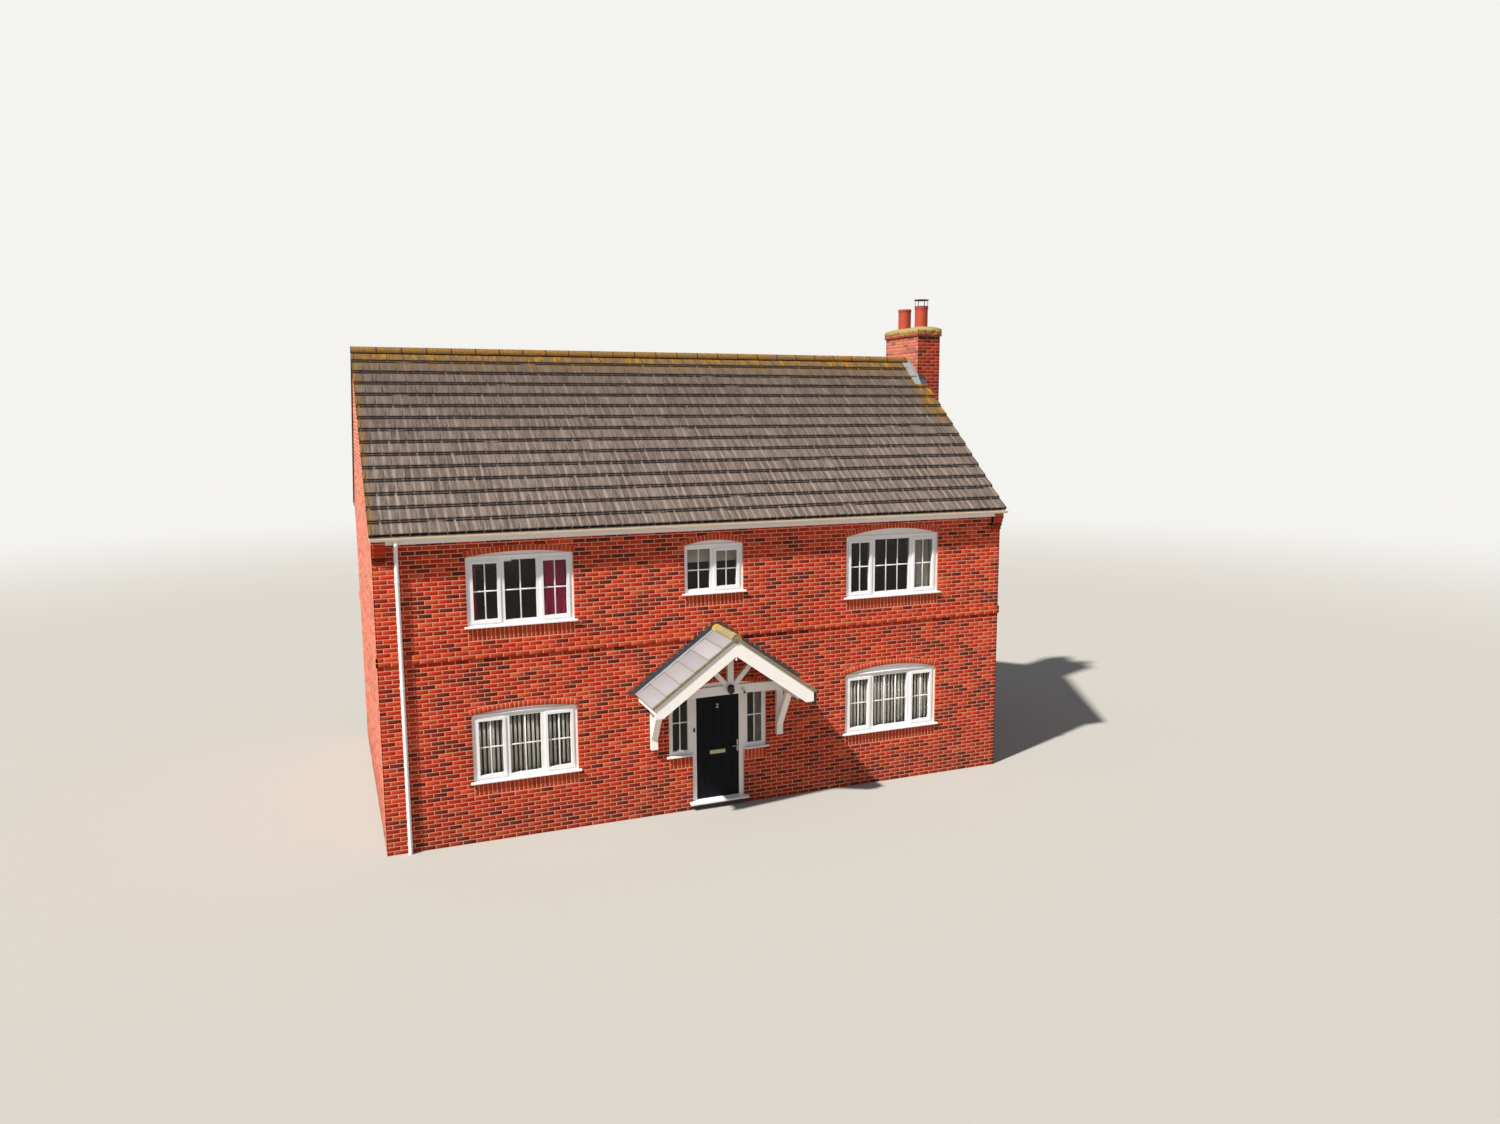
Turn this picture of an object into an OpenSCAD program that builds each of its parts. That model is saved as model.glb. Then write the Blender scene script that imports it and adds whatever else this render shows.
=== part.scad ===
// Two-storey detached brick house with a tiled gable roof, an end chimney,
// arched window heads and a timber porch over the front door.
// X runs along the front to the right, Y from front to back, Z up.
// The origin is at ground level, in the middle of the plan.

/* [Walls] */
// Length of the front, outside the brick
house_w = 12027.5; // [11000:10:14000]
// Depth from front to back, outside the brick
house_d = 7190; // [6600:10:9000]
// Thickness of the outer cavity walls
wall_t = 300; // [260:5:360]
// Width of a brick, front to back
brick_w = 102.5; // [90:0.5:115]
// Height of one course with its joint
course = 75; // [70:1:80]

/* [Storeys] */
// Top of the ground floor above the ground
ground_floor_z = 150; // [100:5:200]
// Top of the upper floor above the ground
upper_floor_z = 2850; // [2700:10:2950]
// Thickness of the upper floor with its ceiling
upper_floor_t = 300; // [200:10:300]
// Lower edge of the projecting band of bricks
band_z = 3225; // [3100:5:3300]
// Height of the projecting band
band_h = 150; // [75:5:225]
// How far the band stands out
band_out = 20; // [8:1:45]

/* [Windows] */
// Jamb of each outer window from its end of the house
window_inset = 1452.5; // [1000:10:1600]
// Width of the left-hand windows
left_window_w = 1810; // [1600:10:2200]
// Width of the right-hand windows
right_window_w = 2035; // [1600:10:2200]
// Height of the wide windows, sill to springing
window_h = 1200; // [1000:10:1300]
// Width of the small upper window
small_window_w = 1135; // [950:5:1300]
// Height of the small window, sill to springing
small_window_h = 900; // [700:10:1000]
// Centre of the small window, left of the middle of the house
small_window_left = 168.75; // [0:5:300]
// Foot of the lower windows above the ground
lower_sill_z = 1050; // [900:10:1150]
// Foot of the upper windows above the ground
upper_sill_z = 3750; // [3620:10:3850]
// Rise of the arches over the left-hand windows
left_rise = 70; // [40:5:150]
// Rise of the arches over the right-hand windows
right_rise = 130; // [40:5:150]
// Rise of the arch over the small window
small_rise = 80; // [40:5:150]
// Height of the upright bricks under each sill
soldier_h = 225; // [150:5:235]
// Visible width of the fixed frame
frame_w = 65; // [50:1:80]
// Front to back depth of the frames
frame_depth = 70; // [60:1:100]
// Recess of the frames from the brick face
frame_set_back = 35; // [15:1:60]
// Width of the posts between the lights
mullion_w = 70; // [50:1:90]
// Visible width of an opening sash
sash_w = 50; // [35:1:60]
// How far a sash stands in front of the frame
sash_out = 14; // [5:1:20]
// Glass width of an opening sash
sash_glass_w = 402; // [300:2:450]
// Height of the sill boards
sill_t = 35; // [25:1:50]
// How far the sills stand out from the brick
sill_out = 50; // [30:1:80]
// How far the sills run past the jambs
sill_ear = 50; // [20:1:80]
// Thickness of the sealed glass units
glass_t = 24; // [16:1:32]

/* [Front door] */
// Centre of the entrance, left of the middle of the house
door_left = 112.5; // [0:5:300]
// Width of the opening with both side lights
entrance_w = 1922.5; // [1800:2.5:2000]
// Width of the door frame between the side lights
door_frame_w = 1022.5; // [960:2.5:1100]
// Visible width of the door leaf
door_clear_w = 844; // [760:2:880]
// Springing of the arch over the entrance
entrance_spring_z = 2250; // [2150:10:2300]
// Rise of the arch over the entrance
entrance_rise = 135; // [60:5:150]
// Height of the head member of the frames below the springing
head_h = 80; // [60:2:100]
// Thickness of the door leaf
leaf_t = 44; // [35:1:60]
// Overlap of the frame over the edge of the leaf
rebate = 12; // [8:1:18]
// Running gap round the leaf
leaf_gap = 5; // [5:0.5:8]

/* [Roof] */
// Pitch of the main roof, degrees
pitch = 39.6; // [30:0.2:45]
// How far the tiles run out past the front and back walls
eaves_out = 165; // [120:5:200]
// Height of the upper edge of the lowest tiles
eaves_z = 5397; // [5350:5:5600]
// Thickness of tiles, battens and bedding
tile_bed = 60; // [50:1:90]
// Number of tile courses on each slope
tile_rows = 15; // [10:1:20]
// Height of the step at each tile course
tile_lip = 24; // [12:1:30]
// How far the tiles run out past the gables
verge_out = 30; // [10:5:60]
// Outside radius of the ridge tiles
ridge_r = 95; // [85:5:140]
// Wall thickness of the ridge tiles
ridge_t = 15; // [10:1:20]
// Length of one ridge tile
ridge_len = 450; // [300:10:600]
// Mortar joint between ridge tiles
ridge_gap = 6; // [3:1:12]

/* [Eaves] */
// Underside of the soffit above the ground
soffit_z = 5225; // [5180:5:5240]
// Front of the eaves board from the brick face
fascia_out = 115; // [90:5:125]
// Thickness of the eaves board
fascia_t = 18; // [12:1:25]
// Thickness of the soffit board
soffit_t = 10; // [8:1:15]
// Width of a brick corbel at the corner
kneeler_w = 215; // [150:5:230]
// Foot of the brick corbels above the ground
kneeler_foot_z = 4950; // [4800:5:5000]
// Outside radius of the half-round gutter
gutter_r = 56; // [45:1:65]
// Wall of the gutter and of the pipe
gutter_t = 3; // [2:0.5:5]
// Rim of the gutter above the ground
gutter_z = 5345; // [5320:5:5350]
// Number of gutter brackets
bracket_count = 13; // [6:1:20]
// Outside radius of the rainwater pipe
pipe_r = 34; // [25:1:45]
// Centre of the pipe from the end of the house
pipe_inset = 370; // [330:5:500]
// Gap between the pipe and the wall
pipe_stand_off = 20; // [15:1:40]

/* [Chimney] */
// Width of the stack along the front
stack_w = 552.5; // [450:2.5:700]
// Depth of the stack from front to back
stack_d = 1452.5; // [1200:2.5:1700]
// How far the stack stands out of the end wall
stack_out = 412.5; // [300:2.5:450]
// Middle of the stack behind the middle of the roof
stack_back = 175; // [0:5:300]
// Top of the straight brickwork above the ground
stack_top_z = 8925; // [8800:5:9400]
// Height of the capping band
cap_h = 150; // [100:5:225]
// How far the capping stands out
cap_out = 28; // [15:1:50]
// Height of the sloped mortar round the pots
flaunch_h = 75; // [40:5:120]
// Outside radius of a pot at its foot
pot_r = 150; // [120:1:170]
// Wall of a pot
pot_t = 20; // [15:1:30]
// Height of a pot above the capping
pot_h = 600; // [450:10:800]
// Distance between the pots, centre to centre
pot_pitch = 732; // [500:2:800]
// Height of the metal cowl over its pot
cowl_h = 170; // [120:5:220]
// Width of the lead on the roof beside the stack
lead_w = 150; // [100:5:200]

/* [Porch] */
// How far the porch roof stands out
porch_out = 1020; // [900:5:1200]
// Half the width of the porch roof
porch_half_w = 1560; // [1300:5:1600]
// Pitch of the porch roof, degrees
porch_pitch = 35.7; // [30:0.1:38]
// Top of the porch slabs at the ridge
porch_top_z = 3440; // [3380:5:3470]
// Shift of the porch to the left of the entrance
porch_left = 22; // [0:2:80]
// Thickness of the porch roof
porch_t = 50; // [30:1:60]
// Rows of slabs on each porch slope
porch_rows = 6; // [4:1:10]
// Height of the step at each slab row
slab_lip = 10; // [4:1:16]
// Depth of the sloping front boards
barge_h = 240; // [180:5:280]
// Thickness of the front boards
barge_t = 30; // [20:1:45]
// Recess of the front boards under the slabs
barge_in = 20; // [5:1:60]
// Plumb cut at the lower end of the front boards
barge_tip = 185; // [140:5:200]
// Distance of the timber truss from the wall
truss_y = 640; // [500:5:780]
// Thickness of the truss timbers
truss_t = 70; // [50:1:100]
// Height of the tie beam
tie_h = 165; // [120:5:200]
// Underside of the tie beam at its middle
tie_z = 2335; // [2300:5:2400]
// Camber of the tie beam
tie_camber = 25; // [10:1:40]
// Width of the centre post
king_w = 110; // [80:1:140]
// Width of the struts
strut_w = 85; // [60:1:110]
// Slope of the struts, degrees
strut_slope = 48; // [40:1:60]
// Half the distance between the wall brackets
bracket_half = 1236; // [1130:2:1260]
// Width of the bracket timbers
bracket_w = 120; // [80:1:140]
// Thickness of the bracket timbers
bracket_t = 85; // [60:1:110]
// Foot of the bracket posts above the ground
bracket_foot_z = 1270; // [1150:5:1500]
// Width of the step covering where the porch meets the wall
flashing_h = 90; // [70:5:120]

/* [Hidden] */
front = -house_d / 2;
left = -house_w / 2;
right = house_w / 2;
arch_shelf = 20;
arch_bed = 10;
sash_up = 28;
sash_down = 46;
bracket_gap = 3;
bracket_end = 120;
bracket_strip = 30;
neck_drop = 60;
clip_h = 30;
pipe_clips = [150, 2830, 4600];
flue_r = 100;
flue_depth = 1500;
lead_up = 100;
flaunch_inset = 170;
lead_t = 4;
groove_w = 22;
groove_d = 8;
panel_w = 210;
panel_x = 175;
panel_foot = 260;
lower_panel_h = 515;
mid_rail = 195;
top_rail = 157;
letter_w = 305;
letter_h = 70;
letter_edge = 16;
plate_t = 8;
lever_out = 55;
lever_len = 115;
handle_in = 30;
handle_z = 1120;
letter_z = 1045;
bell_z = 1515;
hinge_pin_r = 4;
step_ear = 60;
step_out = 100;
flashing_run = 110;
flashing_clear = 5;
lead_reach = 2 * porch_half_w;
porch_ridge_r = 90;
porch_ridge_up = 40;
rafter_h = 100;
barge_end = 60;
side_board_t = 25;
side_board_h = 110;
brace_reach = 520;
camera_drop = 150;
lantern_w = 60;
lantern_h = 100;
lantern_out = 75;
lantern_drop = 70;
camera_h = 110;
camera_r = 34;
slope = tan(pitch);
bed_v = tile_bed / cos(pitch);
bed_gap = 0.3;
lip_v = tile_lip / cos(pitch);
eaves_y = front - eaves_out;
ridge_z = eaves_z - eaves_y * slope;
stack_x = right + stack_out - stack_w;
stack_y = stack_back - stack_d / 2;
light_z = sill_t + 60;
sill_back = frame_set_back + frame_depth;
door_x = -door_left;
porch_x = door_x - porch_left;
porch_slope = tan(porch_pitch);
porch_under_z = porch_top_z - (porch_t + bed_gap) / cos(porch_pitch);
porch_tip_x = porch_half_w - barge_end;
porch_tip_z = porch_under_z - porch_tip_x * porch_slope;
side_w = (entrance_w - door_frame_w) / 2;
threshold_z = ground_floor_z + 15;
leaf_w = door_clear_w + 2 * rebate - 2 * leaf_gap;
leaf_z = threshold_z + leaf_gap;
leaf_top_z = entrance_spring_z - head_h + rebate - leaf_gap;
leaf_y = front + frame_set_back + 25;
hinge_r = 8;
hinge_off = 2;
hinge_x = door_x - leaf_w / 2 - leaf_gap + hinge_off;
hinge_y = leaf_y + leaf_t + hinge_r + hinge_off;
hinge_end = 200;
hinge_h = 100;
knuckle_h = 34;
hinge_slack = 1;
hinge_bore = 0.05;
plate_from_pin = 2;
hinge_over = 1;
hinge_plate_w = 40;
hinge_plate_t = 3;
hinge_levels = [leaf_z + hinge_end, (leaf_z + leaf_top_z) / 2, leaf_top_z - hinge_end];
cut_over = 500;
top_cut = ridge_z + cut_over;
handle_plate_h = 220;
brace_foot_up = 210;
tie_camera_x = 190;
ridge_up = 55;
gutter_y = front - fascia_out - bracket_gap - gutter_r;
pipe_y = front - pipe_stand_off - pipe_r;
side_frame_w = 80;
side_glass_w = side_w - 2 * side_frame_w;
side_light_z = lower_sill_z + sill_t + 65;
side_light_h = entrance_spring_z - head_h - side_light_z;
brick_red = "#a5432f";
smooth_red = "#b8492c";
tile_grey = "#6c635b";
trim_white = "#f2f1ee";
glass_grey = "#39424a";
lead_grey = "#5b5f66";

left_c = left + window_inset + left_window_w / 2;
right_c = right - window_inset - right_window_w / 2;
small_c = -small_window_left;
small_sill_z = upper_sill_z + window_h - small_window_h;
// Each window: centre, foot, width, height to springing, rise, fixed light at the left end only
WINDOWS = [
    [left_c, upper_sill_z, left_window_w, window_h, left_rise, false],
    [small_c, small_sill_z, small_window_w, small_window_h, small_rise, true],
    [right_c, upper_sill_z, right_window_w, window_h, right_rise, false],
    [left_c, lower_sill_z, left_window_w, window_h, left_rise, false],
    [right_c, lower_sill_z, right_window_w, window_h, right_rise, false]
];

function arc_r(w, rise) = (w * w / 4 + rise * rise) / (2 * rise);
// Half width of the stepped lead at one course above the ground
function lead_half(k) = (porch_top_z + flashing_h - (k + 1) * course) / porch_slope + flashing_run;
function tile_top(y) = ridge_z - abs(y) * slope;
function tile_under(y) = tile_top(y) - bed_v;
// Top of what the roof lies on, a thin bedding gap under the tiles
function wall_top(y) = tile_under(y) - bed_gap / cos(pitch);
function window_light_w(w, small) =
    small ? w - 2 * frame_w - mullion_w - sash_glass_w - 2 * sash_w
          : w - 2 * frame_w - 2 * mullion_w - 2 * (sash_glass_w + 2 * sash_w);
function sash_centres(w, small) =
    let (c = w / 2 - frame_w - sash_w - sash_glass_w / 2) small ? [c] : [-c, c];
function fixed_centre(w, small) =
    small ? -w / 2 + frame_w + window_light_w(w, small) / 2 : 0;

// Draws a flat outline standing in the XZ plane, from y to y + len
module upright(y, len) {
    translate([0, y + len, 0]) rotate([90, 0, 0]) linear_extrude(len) children();
}

// Draws a flat YZ outline along X, from x to x + len
module along(x, len) {
    translate([x, 0, 0]) rotate([90, 0, 90]) linear_extrude(len) children();
}

module at_back() {
    rotate([0, 0, 180]) children();
}

module bar(x0, z0, x1, z1, w) {
    a = atan2(z1 - z0, x1 - x0);
    translate([x0, z0]) rotate(a) translate([0, -w / 2])
        square([norm([x1 - x0, z1 - z0]), w]);
}

// Opening outline: straight sides up to h, then a shallow arch
module opening(w, h, rise) {
    r = arc_r(w, rise);
    intersection() {
        translate([0, h + rise - r]) circle(r, $fn = 360);
        translate([-w / 2, 0]) square([w, h + 2 * rise]);
    }
}

// Seat of the arch in the wall: a bed joint under its foot, a short shelf, then up to the outer curve
module arch_seat(w, h, rise) {
    r = arc_r(w, rise);
    k = 1.2 * (r + brick_w) / (r - rise);
    half = (w / 2 + arch_shelf) * k;
    intersection() {
        translate([0, h + rise - r]) circle(r + brick_w, $fn = 360);
        translate([0, h + rise - r]) polygon([[0, 0], [-half, (r - rise) * k], [half, (r - rise) * k]]);
        translate([-w, h - arch_bed]) square([2 * w, arch_bed + rise + 2 * brick_w]);
    }
}

// Ring of bricks on edge, with ends pointing to the centre of its curve
module arch_ring(w, h, rise) {
    difference() {
        arch_seat(w, h, rise);
        opening(w, h, rise);
    }
}

module window_cuts() {
    for (v = WINDOWS) translate([v[0], 0, v[1]]) {
        upright(front - 1, wall_t + 2) opening(v[2], v[3], v[4]);
        upright(front - 1, brick_w + 1) arch_seat(v[2], v[3], v[4]);
        upright(front - 1, brick_w + 1)
            translate([-v[2] / 2, -soldier_h]) square([v[2], soldier_h + 1]);
    }
}

module entrance_cut() {
    translate([door_x, 0, 0]) {
        upright(front - 1, wall_t + 2)
            translate([0, lower_sill_z])
                opening(entrance_w, entrance_spring_z - lower_sill_z, entrance_rise);
        upright(front - 1, brick_w + 1) arch_seat(entrance_w, entrance_spring_z, entrance_rise);
        for (s = [-1, 1])
            upright(front - 1, brick_w + 1)
                translate([s * (door_frame_w + side_w) / 2 - side_w / 2, lower_sill_z - soldier_h])
                    square([side_w, soldier_h + 1]);
    }
}

// Section of a front or back wall, its top cut to the slope of the tiles
module wall_profile() {
    polygon([
        [front, 0], [front + wall_t, 0],
        [front + wall_t, wall_top(front + wall_t)], [front, wall_top(front)]
    ]);
}

// Part of the front wall over a range of X and Z, with its share of the openings
module front_wall_piece() {
    color(brick_red) difference() {
        intersection() {
            along(left + wall_t, house_w - 2 * wall_t) wall_profile();
            union() children();
        }
        window_cuts();
        entrance_cut();
    }
}

module wall_range(x0, x1, z0, z1) {
    translate([x0, front - 1, z0]) cube([x1 - x0, wall_t + 2, z1 - z0]);
}

module front_wall_left() {
    front_wall_piece() {
        wall_range(left, door_x - entrance_w / 2, -1, top_cut);
        wall_range(left, door_x - door_frame_w / 2, -1, lower_sill_z);
    }
}

module front_wall_right() {
    front_wall_piece() {
        wall_range(door_x + entrance_w / 2, right, -1, top_cut);
        wall_range(door_x + door_frame_w / 2, right, -1, lower_sill_z);
    }
}

module front_wall_over_door() {
    front_wall_piece()
        wall_range(door_x - entrance_w / 2, door_x + entrance_w / 2, entrance_spring_z, top_cut);
}

module back_wall() {
    color(brick_red) at_back() difference() {
        along(left + wall_t, house_w - 2 * wall_t) wall_profile();
        window_cuts();
    }
}

module gable_outline() {
    polygon([
        [front, 0], [-front, 0], [-front, wall_top(front)],
        [0, wall_top(0)], [front, wall_top(front)]
    ]);
}

module left_gable_wall() {
    color(brick_red) along(left, wall_t) gable_outline();
}

module right_gable_wall() {
    color(brick_red) along(right - wall_t, wall_t) gable_outline();
}

// Floor slab with a tongue through the doorway, lower under the door sill
module ground_floor() {
    color("#8d8a84") {
        translate([left + wall_t, front + wall_t, 0])
            cube([house_w - 2 * wall_t, house_d - 2 * wall_t, ground_floor_z]);
        along(door_x - door_frame_w / 2, door_frame_w) polygon([
            [front, 0], [front + wall_t + 1, 0], [front + wall_t + 1, ground_floor_z],
            [front + sill_back, ground_floor_z], [front + sill_back, ground_floor_z - sill_t],
            [front, ground_floor_z - sill_t]
        ]);
    }
}

module upper_floor() {
    color("#b79b78") translate([left + wall_t, front + wall_t, upper_floor_z - upper_floor_t])
        cube([house_w - 2 * wall_t, house_d - 2 * wall_t, upper_floor_t]);
}

// Projecting band of smooth bricks, broken by the porch and the chimney
module string_course() {
    gap = lead_half(floor(band_z / course)) + flashing_clear;
    color(smooth_red) {
        translate([left - band_out, front - band_out, band_z])
            cube([porch_x - gap - left + band_out, band_out, band_h]);
        translate([porch_x + gap, front - band_out, band_z])
            cube([right + band_out - porch_x - gap, band_out, band_h]);
        translate([left - band_out, front, band_z]) cube([band_out, house_d, band_h]);
        translate([left - band_out, -front, band_z])
            cube([house_w + 2 * band_out, band_out, band_h]);
        translate([right, front, band_z]) cube([band_out, stack_y - front, band_h]);
        translate([right, stack_y + stack_d, band_z])
            cube([band_out, -front - stack_y - stack_d, band_h]);
    }
}

module arches_of_face() {
    for (v = WINDOWS) translate([v[0], 0, v[1]])
        upright(front, brick_w) arch_ring(v[2], v[3], v[4]);
}

module window_arches() {
    color(smooth_red) {
        arches_of_face();
        at_back() arches_of_face();
        translate([door_x, 0, 0])
            upright(front, brick_w) arch_ring(entrance_w, entrance_spring_z, entrance_rise);
    }
}

module soldiers_of_face() {
    for (v = WINDOWS) translate([v[0] - v[2] / 2, front, v[1] - soldier_h])
        cube([v[2], brick_w, soldier_h]);
}

module soldier_courses() {
    color(smooth_red) {
        soldiers_of_face();
        at_back() soldiers_of_face();
        for (s = [-1, 1])
            translate([door_x + s * (door_frame_w + side_w) / 2 - side_w / 2, front, lower_sill_z - soldier_h])
                cube([side_w, brick_w, soldier_h]);
    }
}

// Corbelled bricks that carry the foot of each verge
module kneeler_outline() {
    steps = floor((eaves_z - kneeler_foot_z) / course);
    foot_z = kneeler_foot_z;
    out = fascia_out / (steps - 1);
    intersection() {
        union() for (i = [0 : steps - 1])
            translate([front - min(fascia_out, out * (i + 1)), foot_z + i * course])
                square([min(fascia_out, out * (i + 1)), course * (i == steps - 1 ? 3 : 1)]);
        polygon([
            [front - eaves_out, 0], [front, 0],
            [front, wall_top(front)], [front - eaves_out, wall_top(front - eaves_out)]
        ]);
    }
}

module kneelers() {
    color(brick_red) for (x = [left, right - kneeler_w]) {
        along(x, kneeler_w) kneeler_outline();
        at_back() along(x, kneeler_w) kneeler_outline();
    }
}

// One roof slope as stepped courses, lying in the YZ plane from eaves to ridge
module slope_outline() {
    dy = -eaves_y / tile_rows;
    polygon(concat(
        [for (i = [0 : tile_rows - 1], k = [0, 1])
            let (y = eaves_y + (i + k) * dy)
            [y, tile_top(y) - (k == 1 ? lip_v : 0)]],
        [[0, tile_under(0)], [eaves_y + tile_bed * sin(pitch), tile_under(eaves_y + tile_bed * sin(pitch))]]
    ));
}

module roof_slope() {
    along(left - verge_out, house_w + 2 * verge_out) slope_outline();
}

module stack_box(z0, z1) {
    translate([stack_x, stack_y, z0]) cube([stack_w, stack_d, z1 - z0]);
}

module roof_front_slope() {
    color(tile_grey) difference() {
        roof_slope();
        stack_box(0, top_cut);
    }
}

module roof_back_slope() {
    color(tile_grey) difference() {
        at_back() roof_slope();
        stack_box(0, top_cut);
    }
}

// Half-round tile bedded down to the slopes on both sides of a ridge
module ridge_outline(r, t, apex, fall, rise, lip, row) {
    h = r + rise + 10;
    intersection() {
        translate([0, apex + rise - r]) difference() {
            circle(r, $fn = 96);
            circle(r - t, $fn = 96);
        }
        polygon([
            [-r, apex - r * fall - lip * (1 - r / row)], [0, apex - lip],
            [r, apex - r * fall - lip * (1 - r / row)], [r, apex + h], [-r, apex + h]
        ]);
    }
}

module ridge_tiles() {
    x0 = left - verge_out;
    run = stack_x - x0;
    step = ridge_len + ridge_gap;
    color("#7a6a48") for (i = [0 : ceil(run / step) - 1])
        along(x0 + i * step, min(ridge_len, run - i * step))
            ridge_outline(ridge_r, ridge_t, ridge_z, slope, ridge_up, lip_v, -eaves_y / tile_rows);
}

module eaves_outline() {
    f = front - fascia_out;
    polygon([
        [f, soffit_z], [front, soffit_z], [front, soffit_z + soffit_t],
        [f + fascia_t, soffit_z + soffit_t], [f + fascia_t, wall_top(f + fascia_t)],
        [f, wall_top(f)]
    ]);
}

module eaves_of_face() {
    along(left + kneeler_w, house_w - 2 * kneeler_w) eaves_outline();
}

module eaves_boards() {
    color(trim_white) {
        eaves_of_face();
        at_back() eaves_of_face();
    }
}

module half_disc(r) {
    intersection() {
        circle(r, $fn = 96);
        translate([-r, -r]) square([2 * r, r]);
    }
}

module gutter_of_face() {
    x0 = left - verge_out;
    run = house_w + 2 * verge_out;
    step = (run - 2 * bracket_end - bracket_strip) / (bracket_count - 1);
    difference() {
        union() {
            along(x0, run) translate([gutter_y, gutter_z]) half_disc(gutter_r);
            for (i = [0 : bracket_count - 1])
                along(x0 + bracket_end + i * step, bracket_strip) {
                    translate([gutter_y, gutter_z]) half_disc(gutter_r + bracket_gap);
                    translate([gutter_y, gutter_z - gutter_r])
                        square([front - fascia_out - gutter_y, gutter_r]);
                }
        }
        along(x0 + gutter_t, run - 2 * gutter_t)
            translate([gutter_y, gutter_z]) circle(gutter_r - gutter_t, $fn = 96);
        translate([left + pipe_inset, gutter_y, gutter_z - 2 * gutter_r])
            cylinder(r = pipe_r - gutter_t, h = 2 * gutter_r, $fn = 64);
    }
}

module gutters() {
    color(trim_white) {
        gutter_of_face();
        at_back() gutter_of_face();
    }
}

// Rainwater pipe: outlet under the gutter, slanting neck, long straight drop and clips
module downpipe_of_face() {
    neck_top = gutter_z - gutter_r - neck_drop;
    neck_low = neck_top - (pipe_y - gutter_y);
    len = norm([pipe_y - gutter_y, neck_top - neck_low]);
    translate([left + pipe_inset, 0, 0]) difference() {
        union() {
            translate([0, gutter_y, neck_top]) cylinder(r = pipe_r, h = neck_drop + gutter_r, $fn = 64);
            translate([0, gutter_y, neck_top]) sphere(r = pipe_r + 4, $fn = 64);
            translate([0, gutter_y, neck_top]) rotate([-135, 0, 0]) cylinder(r = pipe_r, h = len, $fn = 64);
            translate([0, pipe_y, neck_low]) sphere(r = pipe_r + 4, $fn = 64);
            translate([0, pipe_y, 0]) cylinder(r = pipe_r, h = neck_low, $fn = 64);
            for (z = pipe_clips) {
                translate([0, pipe_y, z]) cylinder(r = pipe_r + 4, h = clip_h, $fn = 64);
                translate([-pipe_r - 8, pipe_y, z]) cube([2 * pipe_r + 16, front - pipe_y, clip_h]);
            }
        }
        along(-2 * pipe_r, 4 * pipe_r) translate([gutter_y, gutter_z]) circle(gutter_r, $fn = 96);
    }
}

module downpipes() {
    color(trim_white) {
        downpipe_of_face();
        at_back() downpipe_of_face();
    }
}

module at_pots() {
    for (s = [-1, 1])
        translate([stack_x + stack_w / 2, stack_y + stack_d / 2 + s * pot_pitch / 2, 0]) children();
}

module flues(z0, z1) {
    at_pots() translate([0, 0, z0]) cylinder(r = flue_r, h = z1 - z0, $fn = 64);
}

module chimney_stack() {
    color(brick_red) difference() {
        stack_box(0, stack_top_z);
        along(stack_x - 1, right - stack_x + 1) gable_outline();
        flues(stack_top_z - flue_depth, stack_top_z + 1);
    }
}

module chimney_cap() {
    c = stack_top_z + cap_h;
    x0 = stack_x - cap_out;
    y0 = stack_y - cap_out;
    w = stack_w + 2 * cap_out;
    d = stack_d + 2 * cap_out;
    inset = flaunch_inset;
    color("#a39163") difference() {
        union() {
            translate([x0, y0, stack_top_z]) cube([w, d, cap_h]);
            intersection() {
                along(x0, w) polygon([
                    [y0 + 15, c - 1], [y0 + d - 15, c - 1],
                    [y0 + d - inset, c + flaunch_h], [y0 + inset, c + flaunch_h]
                ]);
                upright(y0, d) polygon([
                    [x0 + 15, c - 1], [x0 + w - 15, c - 1],
                    [x0 + w - inset, c + flaunch_h], [x0 + inset, c + flaunch_h]
                ]);
            }
        }
        flues(stack_top_z - 1, c + 1);
        at_pots() translate([0, 0, c]) cylinder(r = pot_r, h = flaunch_h + 1, $fn = 96);
    }
}

module chimney_pots() {
    color("#b4553a") at_pots() translate([0, 0, stack_top_z + cap_h])
        rotate_extrude($fn = 96) polygon([
            [pot_r - pot_t, 0], [pot_r, 0], [pot_r, flaunch_h], [pot_r - 5, flaunch_h + 5],
            [pot_r - 5, pot_h - 60], [pot_r + 3, pot_h - 50], [pot_r + 3, pot_h],
            [pot_r - pot_t, pot_h]
        ]);
}

// Metal cowl on the front pot: a ring, thin posts and a low round cover
module chimney_cowl() {
    z = stack_top_z + cap_h + pot_h;
    color("#4a4c50") translate([stack_x + stack_w / 2, stack_y + stack_d / 2 - pot_pitch / 2, z]) {
        difference() {
            cylinder(r = pot_r, h = 12, $fn = 96);
            translate([0, 0, -1]) cylinder(r = pot_r - pot_t, h = 14, $fn = 96);
        }
        for (a = [30 : 60 : 330]) rotate(a) translate([pot_r - 11, 0, 6])
            cylinder(r = 5, h = cowl_h - 20, $fn = 24);
        translate([0, 0, cowl_h - 30]) cylinder(r = pot_r + 15, h = 14, $fn = 96);
        translate([0, 0, cowl_h - 16]) cylinder(r1 = pot_r + 15, r2 = 20, h = 16, $fn = 96);
    }
}

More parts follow.
